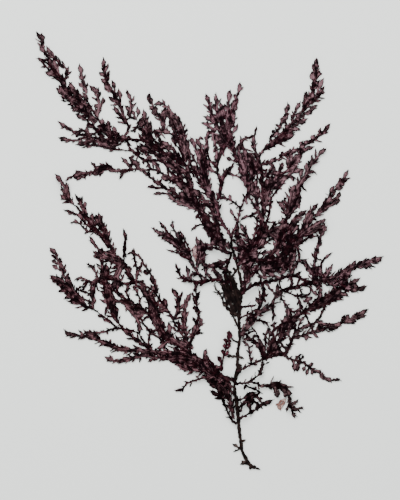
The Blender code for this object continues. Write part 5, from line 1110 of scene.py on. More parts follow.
dress("right_inner_frond", RIGHT_INNER_STRANDS, seed=19, material=dried_thallus(
    "right_inner_thallus", dark="060002", body="280a10", pale="634b4f", redness=0.75))


# The middle right frond: a stout strand with rings and hooks, a beaded spray and a long plume.
RIGHT_MIDDLE_STRANDS = (
    (STOUT, 241, 294, 246, 290, 252, 286, 259, 283.5, 266, 282, 273, 280.5, 280, 278.5, 287, 276.5, 294, 276,
     301, 278.5, 308, 281.5, 315, 281.5, 322, 279.5),
    (BROAD, 319, 280, 326, 278.5, 333, 278, 339, 276, 344, 272, 349, 269, 355, 266, 361, 264.5, 367, 263,
     375, 260.5, 383, 256.5),
    (BROAD, 326, 280, 332, 284.5, 339, 284, 345, 279, 349, 273, 352, 269),
    (LENS, 351, 269, 350.5, 266, 350, 263),
    (LENS, 359, 266, 364, 266.5, 370, 267),
    (LEAFY, 325, 278, 328, 272.5, 330.5, 268, 332.7, 263.7),
    (NUBBY, 330, 278.5, 334.5, 276.5, 337.5, 273, 339, 268.7),
    (BROAD, 316, 281, 317, 275, 316, 269, 319, 266),
    (LEAFY, 317, 276, 315, 270, 314.3, 265, 315.5, 259, 316, 253, 316.5, 249, 319, 245, 319.5, 239, 322,
     233.5, 325, 228),
    (FINGER, 318, 274, 321, 268, 322, 262, 326, 257.5, 332, 252.5),
    (BARE, 315.5, 259, 319, 259.3, 322.5, 261),
    (FINGER, 316, 278, 311, 272, 308, 266, 305, 261, 299, 259.5),
    (LENS, 311, 275, 308, 270, 306, 266),
    (FINGER, 295, 275.5, 301, 271.5),
    (BROAD, 318, 280, 319.5, 287, 320, 294, 318, 301),
    (BARE, 300, 278.5, 297.5, 284, 300, 289, 302.5, 293.5, 307, 295, 310.5, 292, 309, 287, 304, 285.5, 300,
     288),
    (BARE, 304, 285.5, 311, 284, 316.5, 286.5, 318, 292),
    (NUBBY, 309, 287, 313, 291.5, 318, 295),
    (NUBBY, 306, 294.5, 307, 301, 311, 304.5),
    (BARE, 291, 277, 292, 284, 289.5, 289, 285, 291.5, 280.5, 287.5, 279.5, 281, 284, 277.5),
    (BARE, 285, 291.5, 292, 294, 297, 297, 300, 302, 302, 309, 304, 314),
    (BARE, 289, 289, 296, 288.5, 301, 287),
    (NUBBY, 282, 291, 281, 297, 284, 302, 288, 308, 288.5, 314, 287.5, 320),
    (NUBBY, 297, 297, 301, 295, 304, 294),
    (LEAFY, 299, 300, 300, 306, 299, 312, 294, 317),
    (NUBBY, 290, 277, 291.5, 282, 290.5, 288),
    (BROAD, 322, 280, 330, 281, 338, 281),
    (NUBBY, 283, 290, 291, 287.5, 299, 285.5, 306, 283.5, 313, 283),
    (BROAD, 349.5, 271, 352.5, 266, 355.5, 260.5),
    (BROAD, 354, 269, 358.5, 264.5, 362, 260.5),
    (LEAFY, 362, 266.5, 366.5, 262.5, 371, 259.5),
    (BROAD, 364, 264.5, 371, 262, 377, 260, 383, 256.7),
    (BROAD, 322, 279, 330, 277.5, 337, 276.5, 343, 272, 347, 267),
    (BROAD, 338, 283, 342, 277, 346, 270.5, 350, 265),
    (BARE, 325, 281, 330, 284, 335.5, 286),
    (BROAD, 314, 284, 313, 276, 313.5, 269, 315, 263),
    (BROAD, 321, 284, 320.5, 277, 320, 270, 321, 264),
    (NUBBY, 323, 281, 325, 275, 325, 270),
    (NUBBY, 301, 260, 305.5, 261.5, 308.5, 266.5, 311, 273),
    (NUBBY, 287, 306.5, 291, 310.3, 296, 311, 299.5, 307),
    (NUBBY, 300, 297.5, 305, 296.3, 310, 294),
    (LEAFY, 303, 301, 308, 299.7, 313, 297),
    (NUBBY, 316, 262, 315, 257, 317.7, 252, 317, 247, 320.5, 243, 319.5, 237),
)
RIGHT_MIDDLE_MATS = (
    (60, 340, 272, 345, 266, 350, 264, 352, 270, 350, 278, 350, 286, 344, 292, 336, 292, 338, 284, 341, 279),
    (85, 313, 262, 319, 262, 322, 268, 324, 276, 323, 284, 318, 288, 312, 284, 311, 274),
)
dress("right_middle_frond", RIGHT_MIDDLE_STRANDS, mats=RIGHT_MIDDLE_MATS, seed=20, material=dried_thallus(
    "right_middle_thallus", dark="060002", body="2c0a12", pale="6e5359", redness=0.85))


# The upper right middle frond: it leaves the densest knot of the plant and ends in long plumes.
RIGHT_UPPER_STRANDS = (
    (STOUT, 250, 259, 257, 261, 264, 260, 270, 256, 275, 250, 279, 243, 282, 235, 285, 227, 287, 219, 289,
     211, 292, 204),
    (BROAD, 292, 204, 294, 198, 296, 192, 298, 187, 301, 182, 304, 178, 307, 172, 309, 168, 312, 163, 316,
     159, 320.5, 153, 326.5, 148),
    (BROAD, 288.5, 213, 289.5, 205, 290.5, 197, 292, 190, 295.5, 184),
    (LEAFY, 291, 213, 295, 207, 298, 201, 300.5, 195.5),
    (NUBBY, 301, 183, 305, 177, 308.5, 173.5, 313, 171.5, 316.5, 174.5),
    (LENS, 305, 177, 306, 168, 306.5, 162),
    (LENS, 309.5, 168, 311, 163, 313, 158.5),
    (LENS, 301, 183, 300.5, 175, 303.5, 168.5),
    (LEAFY, 288, 219, 285.5, 212, 282.5, 206, 276.3, 200.3),
    (NUBBY, 289.5, 212, 287, 206.5, 285, 201.5, 283.8, 196.3),
    (BROAD, 288, 217, 285, 211.5, 281.5, 205.5, 276.5, 201),
    (STOUT, 258, 263, 266, 264, 274, 261, 281, 256, 286, 250, 291, 243, 296, 237, 301, 232, 305, 227),
    (NUBBY, 304, 229, 308, 224, 313, 219, 319, 212.5, 324, 207, 328, 202.5, 331.5, 198),
    (LEAFY, 316, 216.5, 322, 211, 328, 207, 334, 203.5, 340.7, 200),
    (LEAFY, 302, 230, 305, 222, 309, 215, 313, 209.5, 318.3, 203),
    (BROAD, 289, 228, 293, 222, 297, 217.5, 301.5, 214, 307, 210.3),
    (BROAD, 300, 237, 306, 231, 312, 227, 318, 223.5, 322, 221.5, 326.7, 219),
    (LENS, 319, 232, 322.5, 228.5, 325, 224),
    (BARE, 298, 238.5, 302, 236.5, 308, 235, 314, 232.5, 320, 230, 325, 227),
    (NUBBY, 296, 246.5, 301, 242.5, 306, 239, 312, 236.8, 318, 236),
    (STOUT, 289, 248, 296, 246, 298.5, 252, 299, 259, 296, 266, 292, 272, 288, 276),
    (BROAD, 263, 230, 270, 234, 276, 238, 283, 243, 289, 247),
    (BROAD, 262, 237, 268, 232, 275, 228, 283, 226, 290, 224),
    (NUBBY, 266, 222, 272, 222.5, 277, 224, 282, 221, 287, 216),
    (NUBBY, 262, 247, 267, 242, 272, 239, 277, 237),
    (BROAD, 262, 269, 270, 268, 278, 267, 286, 264, 292, 260, 297, 255),
    (BROAD, 261, 263, 264, 270, 270, 274, 277, 276),
    (NUBBY, 281, 256, 286, 260, 290, 267, 291, 274),
    (NUBBY, 276, 238, 285, 238, 293, 236, 299, 233),
    (BROAD, 281, 256, 287, 251, 293, 247, 299, 241, 304, 236),
    (BROAD, 275, 250, 277, 240, 279, 231, 283, 222),
    (BROAD, 291, 211, 294, 204, 296, 197, 298, 190, 299.5, 184),
    (LEAFY, 290, 208, 292.5, 201, 294, 194, 296.5, 188),
    (BARE, 301, 186, 304, 188.7, 306.8, 190.8),
    (LEAFY, 289, 216, 293, 210, 297, 205, 300, 198),
    (LEAFY, 303, 226, 305.5, 219, 308, 214, 309, 210.5),
    (LEAFY, 304, 228, 308, 221, 311.5, 216, 314.5, 211.5),
    (LEAFY, 291, 231, 294, 226, 296, 222, 299.5, 220.5),
    (LEAFY, 293, 233, 296, 228, 299.5, 224.5),
    (NUBBY, 290, 227, 292, 223, 291.5, 219.5),
    (BROAD, 316, 215, 320, 210, 324, 204.5, 329, 200, 332.5, 195),
    (LEAFY, 331, 200, 330.5, 194, 332, 189, 334.5, 185.5),
    (LEAFY, 333, 200, 336.5, 198, 339, 194.5, 339.3, 191.5),
    (LEAFY, 332, 197, 334.5, 191, 337.5, 185.5, 340, 180),
    (BROAD, 337, 190, 340, 184.5, 343, 179.5, 345.5, 175, 348, 169.7),
    (LEAFY, 339, 188, 342, 185, 344.5, 182),
    (FINGER, 340, 182, 340, 179.5, 341, 177.3),
    (BARE, 298, 237, 303, 231, 308, 225.5, 313, 221),
    (LEAFY, 299, 233, 302, 228, 305, 222),
    (LEAFY, 306, 234, 312, 230.5, 318, 227.5, 323, 225),
    (LENS, 319, 234, 323, 231, 327.3, 226.5),
    (NUBBY, 298, 239.5, 304, 236, 310, 234, 316, 231, 320, 229),
    (NUBBY, 283, 222, 281, 230, 280, 238, 278, 246, 274, 253),
    (NUBBY, 292, 238, 288, 246, 284, 254, 280, 262, 276, 270),
    (NUBBY, 297, 243, 291, 249, 285, 257, 283, 266, 285, 274),
    (LEAFY, 263, 266, 270, 262, 277, 260, 284, 261, 291, 264),
    (NUBBY, 276, 246, 283, 250, 290, 256, 297, 262),
    (NUBBY, 297, 262.3, 301, 262.2, 305, 265, 308, 270),
    (NUBBY, 286, 216, 284, 211, 281.5, 207.5),
)
RIGHT_UPPER_MATS = (
    (60, 264, 228, 270, 224, 282, 224, 288, 220, 292, 226, 292, 236, 298, 240, 297, 250, 298, 262, 292, 272,
     282, 277, 272, 275, 264, 271, 262, 262, 270, 258, 276, 250, 278, 240, 270, 236),
    (75, 290.5, 210, 290.5, 198, 293, 188, 297, 182, 302, 182, 301, 190, 299, 200, 301, 205, 296, 212, 290,
     216),
    (150, 256, 262, 266, 258, 276, 258, 292, 256, 298, 262, 292, 272, 282, 278, 272, 279, 262, 281, 256, 276,
     262, 270),
    (110, 277, 224, 288, 220, 292, 230, 298, 240, 297, 252, 286, 258, 276, 258, 277, 246),
)
dress("right_upper_frond", RIGHT_UPPER_STRANDS, mats=RIGHT_UPPER_MATS, seed=21, material=dried_thallus(
    "right_upper_thallus", dark="060002", body="2c0a12", pale="694f54", redness=0.8))


# The upper right frond: the tallest on this side, a dark core with long slender plumes.
UPPER_RIGHT_STRANDS = (
    (STOUT, 237, 266, 243, 258, 249, 251, 255, 243, 259, 234, 262, 224, 263, 214, 263, 205, 262, 195, 262,
     185, 261, 174, 260, 168, 259, 160),
    (BROAD, 262, 218, 258, 209, 257, 200, 255, 191, 252.5, 183, 251, 174, 252, 166),
    (BROAD, 263, 209, 267, 202, 268, 193, 268, 184, 266.5, 178),
    (NUBBY, 257, 243, 262, 236, 265, 228, 267, 220, 269, 212, 270, 205, 271, 199, 274, 194, 278, 189, 282,
     184.5, 284.5, 179.5, 288, 177.2, 293, 177.3, 296.5, 179.8),
    (BROAD, 252, 247, 249, 241, 246, 235, 243, 229, 240, 223),
    (NUBBY, 252, 246, 254, 237, 256, 229, 257, 221, 258, 213),
    (NUBBY, 259, 209, 255, 213.5, 249, 216, 244, 217.5, 240, 221),
    (STOUT, 233, 247, 239, 249, 245, 251, 251, 256, 256, 262),
    (BROAD, 240, 262, 247, 262, 254, 258, 260, 252),
    (NUBBY, 242, 290, 245, 284, 249, 279, 253, 274, 257, 271, 261, 266, 257, 259),
    (NUBBY, 241, 259, 245, 266, 248, 272, 249, 279),
    (BARE, 256, 271, 260, 276, 261, 283),
    (BROAD, 237, 222, 237, 230, 239, 238, 243, 245, 246, 251),
    (LEAFY, 259, 160, 257, 155, 255, 150, 254, 144, 253.7, 139, 254.3, 134),
    (NUBBY, 254, 136, 250, 137, 246, 138.3, 242.5, 140.3, 243, 144),
    (NUBBY, 258, 161, 260.5, 155, 263.5, 150, 268, 145.5, 273, 141, 279, 135.5, 285, 129.5, 291, 124, 297,
     118, 303, 111),
    (LENS, 315, 99, 317, 92, 320, 85, 323.7, 78.5),
    (BROAD, 311, 104, 315, 99.5, 319, 95.5, 321.5, 91, 324, 86.5),
    (BROAD, 303, 110, 304, 105, 305, 99, 306.2, 91),
    (LEAFY, 292, 124, 292.5, 119, 294.5, 113, 297, 108, 300.7, 101.5),
    (LEAFY, 293, 123.5, 299, 118.5, 305, 114, 310.5, 109.5, 317.3, 105),
    (LEAFY, 288, 128.5, 286, 124.5, 284.7, 119, 285.8, 114, 287.3, 108, 287.7, 102.5),
    (NUBBY, 275, 134, 277, 130.5, 280, 127.5, 281.7, 122.5, 281.2, 117),
    (BROAD, 292, 127, 297, 124.5, 302, 121.5, 307.7, 118.5),
    (LEAFY, 287, 129, 292, 129, 296.5, 129, 300.7, 130),
    (BROAD, 265, 148.5, 271, 145.5, 277, 142.5, 283, 140, 288, 137.5, 294.5, 134.5),
    (BROAD, 261, 164.5, 266, 163.5, 270, 162.5, 273, 160, 276, 156.5),
    (BROAD, 287, 168, 291, 164, 295, 159.5, 299, 155.5, 302, 153),
    (LENS, 290.5, 152.5, 288.5, 158, 286.7, 165.5),
    (BROAD, 275, 179, 278.5, 174.5, 281, 168, 282.3, 161.3),
    (LEAFY, 281, 177, 284, 173, 288, 170, 292.5, 168, 298.7, 166.3),
    (LEAFY, 274, 186, 279, 180.5, 284, 176.5, 290, 174, 296, 171, 303.5, 169),
    (BROAD, 267, 178, 268.5, 173, 271.5, 168.5, 274, 164),
    (BROAD, 262, 205, 265, 196, 266.5, 187, 266, 178),
    (LEAFY, 256, 172, 251, 165, 247, 158, 244, 151),
    (BROAD, 243, 258, 249, 254, 256, 249, 262, 243, 266, 236),
    (BROAD, 302, 112, 307, 105, 310.5, 98, 312.5, 91, 314, 84, 315, 77),
    (BROAD, 314, 86, 315.3, 79, 316, 73, 316, 66, 316.5, 57.8),
    (LENS, 316, 69, 316, 63, 316.7, 58),
    (LENS, 315.5, 73, 313.5, 69, 313.3, 64.3),
    (LENS, 314.5, 83, 311.5, 78, 311.8, 72),
    (LENS, 316.5, 78, 318.8, 74.5, 320, 71),
    (LEAFY, 308, 104, 309, 98, 309.3, 94.5),
    (BROAD, 304, 110, 309, 103.5, 312.5, 97, 313.5, 90),
    (LENS, 318, 90, 320.5, 85.5, 322.5, 81),
    (LENS, 305, 108, 307.5, 103, 309.5, 97),
    (NUBBY, 293, 121, 292.3, 117, 293.5, 113.5),
    (LENS, 294, 121, 297, 117, 299.5, 112),
    (LENS, 305, 114.5, 309, 112.8, 312.5, 111.7),
    (LENS, 285.5, 123, 284, 119, 284.3, 115),
    (LENS, 287, 113, 288, 108, 287.7, 102.7),
    (FINGER, 279.5, 127, 277.5, 125.5, 275.3, 124.5),
    (LENS, 297, 125, 301, 123.5, 304.5, 121),
    (NUBBY, 271, 141, 270.5, 138, 272, 135.5, 274.5, 134),
    (FINGER, 272, 132.5, 273.5, 131, 275, 130),
    (LENS, 273, 137, 276, 134, 279, 131.5),
    (NUBBY, 273, 143, 279, 137.5, 285, 133, 291, 130.5, 296, 130.5),
    (NUBBY, 272, 145, 279, 140, 286, 136, 291, 134, 295, 132),
    (NUBBY, 277, 138, 283, 133, 288, 128.5, 292, 124.5),
    (NUBBY, 264, 150, 270, 147.5, 275, 144.5, 280, 142, 286, 140.5),
    (LENS, 271, 144, 268, 145, 265.5, 146.5),
    (FINGER, 267, 147, 265.3, 147.3, 263.7, 147.7),
    (BARE, 254, 139, 254.7, 134, 255.7, 130, 256.7, 125.8),
    (FINGER, 254, 145.5, 252.3, 144.5, 251.3, 142.8),
    (BROAD, 241.5, 140, 242.5, 146, 245.5, 151, 249, 156, 253, 160, 257, 164),
    (LEAFY, 243, 141, 240.5, 141.5, 239.5, 143.5),
    (NUBBY, 249.5, 154, 253, 153.5, 256.5, 155),
    (LEAFY, 253, 168, 248.5, 163, 244.5, 158, 241.5, 152),
    (LEAFY, 257, 168, 253, 164, 249, 160, 246, 155),
    (LEAFY, 254, 175, 249.5, 170, 246, 165, 243.5, 160),
    (LEAFY, 259, 174, 257, 168, 254.5, 162.5, 252, 158.5),
    (NUBBY, 262, 175, 260.5, 169, 258, 163, 256, 157),
    (NUBBY, 273, 160, 277, 159.5, 280, 160, 281.5, 159.7),
    (NUBBY, 267, 163, 267.5, 161, 268, 159.7),
    (LENS, 266.5, 163, 266.8, 161.3, 268, 160),
    (BROAD, 279, 156.5, 282, 155.5, 286, 154.5, 290, 152.5, 294, 151, 299, 149),
    (LENS, 281, 156, 282, 154, 283, 151.8),
    (BROAD, 298, 149.5, 302, 147.5, 306, 144, 311, 141.5, 316, 138.5, 321, 133.5, 326, 129, 329.7, 123.5),
    (LENS, 300, 149, 300.3, 144.5, 302.5, 141),
    (LENS, 303, 147, 305, 143.5, 307.7, 140.5),
    (LENS, 309, 144, 311.5, 139.5, 315, 134.5),
    (BROAD, 299, 154, 300, 150, 302.5, 146, 306, 143.5),
    (LEAFY, 300, 154.5, 304, 151, 308, 148, 311, 147.5, 314.7, 146.3),
    (LEAFY, 290, 162, 293, 158.5, 297, 156, 300, 154),
    (LEAFY, 292, 166, 296, 162, 299.5, 158, 302, 155),
    (NUBBY, 292.5, 152, 289.5, 155.5, 287.8, 160),
    (BROAD, 268, 190, 271, 186, 274, 181, 277.5, 176),
    (BARE, 283, 174, 287.5, 171.5, 292, 170, 297, 170),
    (BROAD, 272, 189, 277, 184, 281.5, 180, 286, 178, 290, 177.5),
    (LEAFY, 276, 189, 279.5, 185.5, 283, 182, 284, 179),
    (LEAFY, 272, 176, 273.5, 171, 274, 165.5),
    (BARE, 267, 170, 263.5, 170.5, 262, 174, 264.5, 177),
    (NUBBY, 270, 162.5, 271.5, 160.5, 274, 160.5, 276, 162),
    (BROAD, 268, 196, 270, 189, 271, 182, 271.5, 175),
    (LEAFY, 270, 188, 274, 182.5, 277, 177.5, 279, 172),
    (LEAFY, 256, 196, 252.5, 190, 249, 184, 247, 177),
    (BARE, 249, 216, 253.5, 216.2, 256, 219, 257, 224),
    (NUBBY, 266, 222, 264, 229, 261, 236, 257, 241),
    (NUBBY, 262, 262, 258, 266, 254, 272, 249, 278, 246, 284),
    (LEAFY, 252, 262, 249, 268, 246, 274, 244, 281),
    (NUBBY, 240, 236, 243, 241, 246, 247, 249, 252),
    (NUBBY, 232, 240, 237, 244, 242, 250, 246, 257),
    (LEAFY, 234, 236, 239, 240, 244, 245, 248, 251),
    (NUBBY, 233, 258, 239, 258.5, 246, 258, 252, 256),
    (LEAFY, 262, 241, 267, 235, 273, 229.5),
    (NUBBY, 261, 237, 265, 231, 269, 226),
    (NUBBY, 266, 237, 271, 235.5, 276, 233),
    (NUBBY, 258, 253.5, 263, 252.7, 268, 252, 273, 250),
    (LEAFY, 259, 260.5, 264, 258.7, 269, 256, 273, 252),
    (NUBBY, 241.5, 150, 241.5, 145, 241, 141.5, 245, 139, 250, 137),
)
# Two mats that cross fill each of these outlines
UPPER_RIGHT_CORE = (240, 240, 246, 243, 250, 238, 256, 238, 262, 233, 266, 236, 262, 241, 256, 247, 262, 252,
                    258, 258, 262, 262, 256, 266, 250, 264, 244, 268, 238, 262, 236, 255, 238, 248)
UPPER_RIGHT_NECK = (243, 262, 252, 264, 262, 264, 270, 272, 262, 276, 254, 276, 247, 284, 243, 290, 241, 280,
                    240, 270)
UPPER_RIGHT_MATS = (
    (100, 240, 143, 243, 148, 249, 155, 256, 158, 262, 163, 264, 175, 272, 180, 277, 186, 273, 195, 262, 198,
     250, 195, 249, 185, 250, 175, 246, 165, 241, 155),
    (38, 275, 143, 279, 137, 285, 132, 290, 128, 296, 126, 296, 131, 295, 136, 287, 140, 279, 143, 272, 146,
     266, 150, 264, 148, 269, 145),
    (65, 304, 110, 305, 102, 309, 98, 311, 90, 311, 76, 316, 70, 318, 78, 316, 88, 315, 98, 310, 105, 306,
     111),
    (60, 268, 168, 272, 166, 275, 172, 280, 165, 283, 168, 280, 176, 276, 183, 272, 190, 268, 188),
    (70, *UPPER_RIGHT_CORE),
    (65, *UPPER_RIGHT_NECK),
    (95, 257, 205, 269, 205, 268, 218, 266, 228, 262, 237, 256, 243, 252, 243, 256, 232, 259, 222),
    (60, 233, 243, 240, 243, 246, 246, 250, 252, 250, 262, 244, 266, 238, 262, 235, 257, 234, 250),
    (130, *UPPER_RIGHT_CORE),
    (110, *UPPER_RIGHT_NECK),
    (15, 257, 252, 266, 250, 273, 250, 272, 257, 264, 260, 262, 255),
)
dress("upper_right_frond", UPPER_RIGHT_STRANDS, mats=UPPER_RIGHT_MATS, seed=22, material=dried_thallus(
    "upper_right_thallus", dark="070002", body="300e16", pale="775b61", redness=0.9))


# The top frond: it carries on the main axis upwards and divides into close-set plumes.
TOP_STRANDS = (
    (NUBBY, 231, 240, 233, 232, 236.5, 225, 238.7, 216, 240.3, 208, 243.5, 202, 246, 196, 249, 190),
    (FINGER, 237.5, 221, 234, 216, 231.5, 212, 230, 208),
    (NUBBY, 241, 209, 237, 205, 233.5, 202, 229.5, 199.7, 225, 198.5, 221, 197.3, 217, 198.5),
    (LENS, 230, 200.5, 230, 197.5, 229.8, 194.7),
    (LEAFY, 221, 124, 218, 117, 217, 110, 217, 104, 216, 99, 215.7, 93.3),
    (LEAFY, 218, 122, 214, 117, 211, 112, 209.5, 106, 208, 100, 205.7, 93.6),
    (LEAFY, 217, 125, 212, 121.5, 208, 118, 203, 116.3),
    (LEAFY, 216, 131, 210, 127.5, 206, 124, 201, 122.8),
    (LEAFY, 225, 128, 227, 120, 228, 114, 228.3, 108, 228.3, 102, 229, 96, 230, 90),
    (BROAD, 226, 132, 229, 124, 230.5, 117, 232, 110, 233.5, 104, 235, 99),
    (LENS, 232, 114, 235, 109.5, 236.7, 104),
    (BROAD, 222.5, 124, 222, 117, 222.8, 111, 223, 105.5),
    (LENS, 228, 132, 231.5, 126.5, 235, 120.5),
    (LENS, 230, 138, 234, 131.5, 237.3, 124),
    (NUBBY, 229.5, 131, 231.5, 136, 233, 142, 235, 148),
    (BROAD, 227.5, 138, 223.5, 145, 220.5, 151.5, 218.5, 158, 217, 164),
    (LEAFY, 216, 128, 212.5, 133, 213, 138, 215, 144, 216, 150, 217, 157, 217, 164),
    (LENS, 234.5, 162, 230, 159, 225.7, 157.3),
    (STOUT, 218.5, 197, 220, 191, 221.7, 185, 223, 179, 225.5, 174.5, 228.5, 170.5, 232, 166, 234.5, 163),
    (NUBBY, 229, 173, 233, 175, 238, 176.5, 242, 179, 245, 183),
    (NUBBY, 222.5, 179, 225, 174.5, 224, 171, 223.3, 168.5),
    (STOUT, 231, 238, 228, 231, 223, 224, 219, 217, 217, 208, 214.5, 200, 211, 193, 207.5, 186, 205.5, 179,
     204.5, 172, 203, 165, 201, 160),
    (LEAFY, 206, 178, 202.5, 171, 200.5, 164, 198.5, 157, 196, 150, 193.5, 144, 190, 137),
    (LEAFY, 206, 172, 204.5, 164, 203, 156, 201, 148.5, 198, 142, 195.5, 138.5),
    (NUBBY, 217, 200, 219.5, 193, 220.3, 187, 219.5, 180, 218, 174, 216.5, 168, 213.5, 164, 210, 160, 207.8,
     154, 207.5, 148, 207.7, 143),
    (NUBBY, 203, 163, 207, 167, 212, 170.5, 217, 174),
    (NUBBY, 204, 166, 204, 158, 205, 150, 206, 143, 207, 136, 208.5, 129),
    (FINGER, 219, 216, 219, 208, 222, 204),
    (BROAD, 230, 146, 224, 140, 220, 133, 217, 127, 214.5, 121),
    (BROAD, 248.5, 192, 247, 184, 244, 177, 241.5, 170, 239.5, 163),
    (LENS, 217, 112, 214.5, 108, 213, 103.5),
    (LENS, 219, 113, 221, 108, 220.5, 102),
    (LENS, 210, 105, 207.5, 100, 205.7, 93.8),
    (FINGER, 211, 112, 208.5, 109, 206.5, 106),
    (BROAD, 217, 124, 213.5, 120, 210, 116),
    (LENS, 228, 101, 228.5, 96, 230, 90.2),
    (LENS, 228, 112, 225.5, 108.5, 224.5, 104),
    (LEAFY, 233.5, 104, 235.5, 99, 238, 94, 239.5, 88, 240, 82),
    (LENS, 238, 93, 239.5, 88, 239.8, 82),
    (FINGER, 235, 104, 237, 101.5, 238, 98.5),
    (BROAD, 229, 128, 232, 121, 233.5, 114, 234, 109),
    (LEAFY, 221, 126, 219.5, 119, 219.5, 113, 219, 108),
    (LENS, 228, 126, 232, 120, 235.5, 114.5),
    (LENS, 239, 153, 238.5, 148.5, 238.5, 143.8),
    (BROAD, 245, 186, 245.5, 179, 244, 171, 242, 163, 240, 156, 237.5, 150),
    (BROAD, 236, 157, 233.5, 149, 231, 141, 229.5, 133, 228, 126),
    (LEAFY, 243, 174, 246, 167, 246.5, 160, 245, 153, 243, 147),
    (BARE, 230, 141, 226, 147, 222.5, 152, 219.5, 158),
    (NUBBY, 214, 130, 209.5, 133, 206.8, 138, 207, 143),
    (NUBBY, 207.5, 134, 211, 131.5, 215, 130),
    (LEAFY, 221, 148, 218.5, 142, 216, 137, 213.5, 133.5),
    (LEAFY, 223, 143, 220, 138, 217, 135),
    (NUBBY, 220, 151, 225, 145, 229, 140, 232.5, 136),
    (NUBBY, 222.5, 181, 223, 176, 226.5, 173.5, 230, 173),
    (NUBBY, 219, 178, 217, 171, 216.5, 164, 216.8, 157),
    (LENS, 203, 154, 205, 149, 207, 143),
    (FINGER, 199.5, 143, 198.5, 140, 200.5, 137.8, 203.5, 139.5),
    (BROAD, 209, 191, 206, 183, 204, 175, 202, 166, 200, 159, 198.5, 152),
    (LEAFY, 209.5, 190, 208, 182, 206.5, 174, 205.5, 165, 204.5, 158, 205.5, 150),
    (LEAFY, 212, 172.5, 210, 169, 208, 164, 206.5, 157),
    (BROAD, 216, 203, 212.5, 196.5, 209, 190, 206.5, 183),
    (BARE, 218, 203, 214, 198, 209, 192, 204, 186),
    (LEAFY, 226, 139, 223, 132, 222, 125, 221, 119),
    (BROAD, 231, 144, 228.5, 136, 227, 128, 226.5, 120),
    (LEAFY, 208, 193, 204.5, 187, 202.5, 181, 201, 175),
    (BROAD, 247, 198, 249, 191, 248, 183, 245.3, 175, 242.5, 167, 239, 161, 235.5, 155, 232, 148, 228.5, 140,
     225, 130, 222, 124),
    (LEAFY, 247, 204, 245.5, 199.5, 243.7, 196),
    (NUBBY, 257, 208.5, 254, 204, 250, 199, 247.5, 193),
)
TOP_MATS = (
    (110, 222, 127, 229, 125, 232, 140, 235, 150, 243, 158, 248, 166, 250, 178, 248, 190, 244, 190, 243, 180,
     239, 170, 233, 160, 228, 150, 224, 140),
    (95, 209, 113, 214, 107, 221, 105, 229, 106, 234, 106, 235, 118, 233, 127, 226, 130, 219, 128, 216, 121),
    (105, 200, 150, 206, 146, 207, 158, 214, 165, 218, 172, 211, 172, 210, 182, 212, 192, 216, 202, 211, 203,
     205, 192, 203, 180, 200, 170, 199, 160),
    (110, 196, 140, 199, 146, 201, 156, 203, 168, 206, 178, 210, 190, 204, 188, 200, 178, 197, 166, 197,
     155),
)
dress("top_frond", TOP_STRANDS, mats=TOP_MATS, seed=23, material=dried_thallus(
    "top_thallus", dark="080103", body="34101a", pale="73565d", redness=0.9))


# The centre left frond: a fan of thin plumes and two arches to the left of the axis.
CENTRE_LEFT_STRANDS = (
    (STOUT, 229, 283, 222, 281, 215, 279.5, 208, 280.5, 200, 283, 194, 281.5, 188, 280.5, 183, 278, 180, 275,
     178, 270, 175.5, 263.5),
    (LEAFY, 191, 281, 188, 276, 188, 271, 186, 265.5),
    (NUBBY, 208, 280, 203, 277, 198, 273.5, 193, 273.5, 189.5, 277.5),
    (NUBBY, 194, 281.5, 196, 287, 193, 291),
    (BARE, 202, 282, 200, 276, 196, 272),
    (NUBBY, 200, 277, 196, 271, 193, 265, 190, 258.5, 186, 252, 181, 247, 176, 242, 170, 237.5, 163, 234.5,
     157, 231.5, 151.3, 228),
    (NUBBY, 174, 240, 169, 236, 166, 231, 163, 225.5, 158.3, 221.3),
    (NUBBY, 184, 249, 180, 240, 177, 234, 173.5, 228.5, 172.3, 224, 171.7, 219.7),
    (NUBBY, 191, 258, 189.5, 250, 187, 244, 183.5, 238, 180, 230.3),
    (BARE, 190, 260, 185, 256.5, 179, 253.5, 172, 251.3, 166.2, 249.3),
    (NUBBY, 186, 256, 181, 251, 176, 246, 170, 241, 165, 239, 160, 237),
    (BROAD, 197, 267, 199.5, 261, 200.5, 255, 200, 249, 198, 242.5, 195.8, 236.3),
    (LEAFY, 202, 255, 203.5, 249, 202, 244, 200.3, 238.5),
    (NUBBY, 200, 252, 204, 248.5, 209, 248, 215, 248, 220, 250, 225, 252, 229, 255),
    (LEAFY, 205, 247.5, 209, 244.5, 214, 242, 219, 240),
    (NUBBY, 229, 259, 225, 262.5, 220, 266, 214, 267.5, 208, 267, 203, 264.5, 199, 262),
    (FINGER, 212, 267, 216, 272, 219, 275, 223, 279),
    (LEAFY, 226, 262, 219, 263, 214, 264),
    (NUBBY, 207, 265, 206, 270, 209, 276, 213, 279),
    (NUBBY, 212, 269, 216, 274.5, 220, 279.5),
    (BARE, 222, 272, 226, 276, 230, 282, 232, 290),
    (BARE, 220, 276, 224, 271.5, 228, 267),
    (BROAD, 190, 257, 186, 250.5, 181, 244, 175, 239.5, 168, 236, 161, 233.3, 155, 231),
    (BROAD, 188, 254, 183, 251, 177, 246, 171, 241.5, 164, 238),
    (LEAFY, 198, 273, 195, 269, 192.5, 264, 190, 258),
    (BARE, 172, 237, 168, 232.5, 165, 228),
    (LEAFY, 181, 244, 178.5, 237, 175.5, 231),
    (BARE, 189, 253, 185, 246, 181.5, 239, 180.5, 233),
    (BARE, 189, 259, 184, 257.3, 179, 255),
    (LEAFY, 198, 262, 198.5, 255, 199, 248.5, 198, 243),
    (NUBBY, 204, 249, 204.3, 256, 204, 262, 205, 269, 206, 277),
    (BARE, 196, 268, 199, 264, 203, 262),
    (BROAD, 227, 261, 221, 263.5, 214, 265, 208, 266),
    (NUBBY, 203, 250, 206, 248.5, 212, 247.5, 217, 248.5),
)
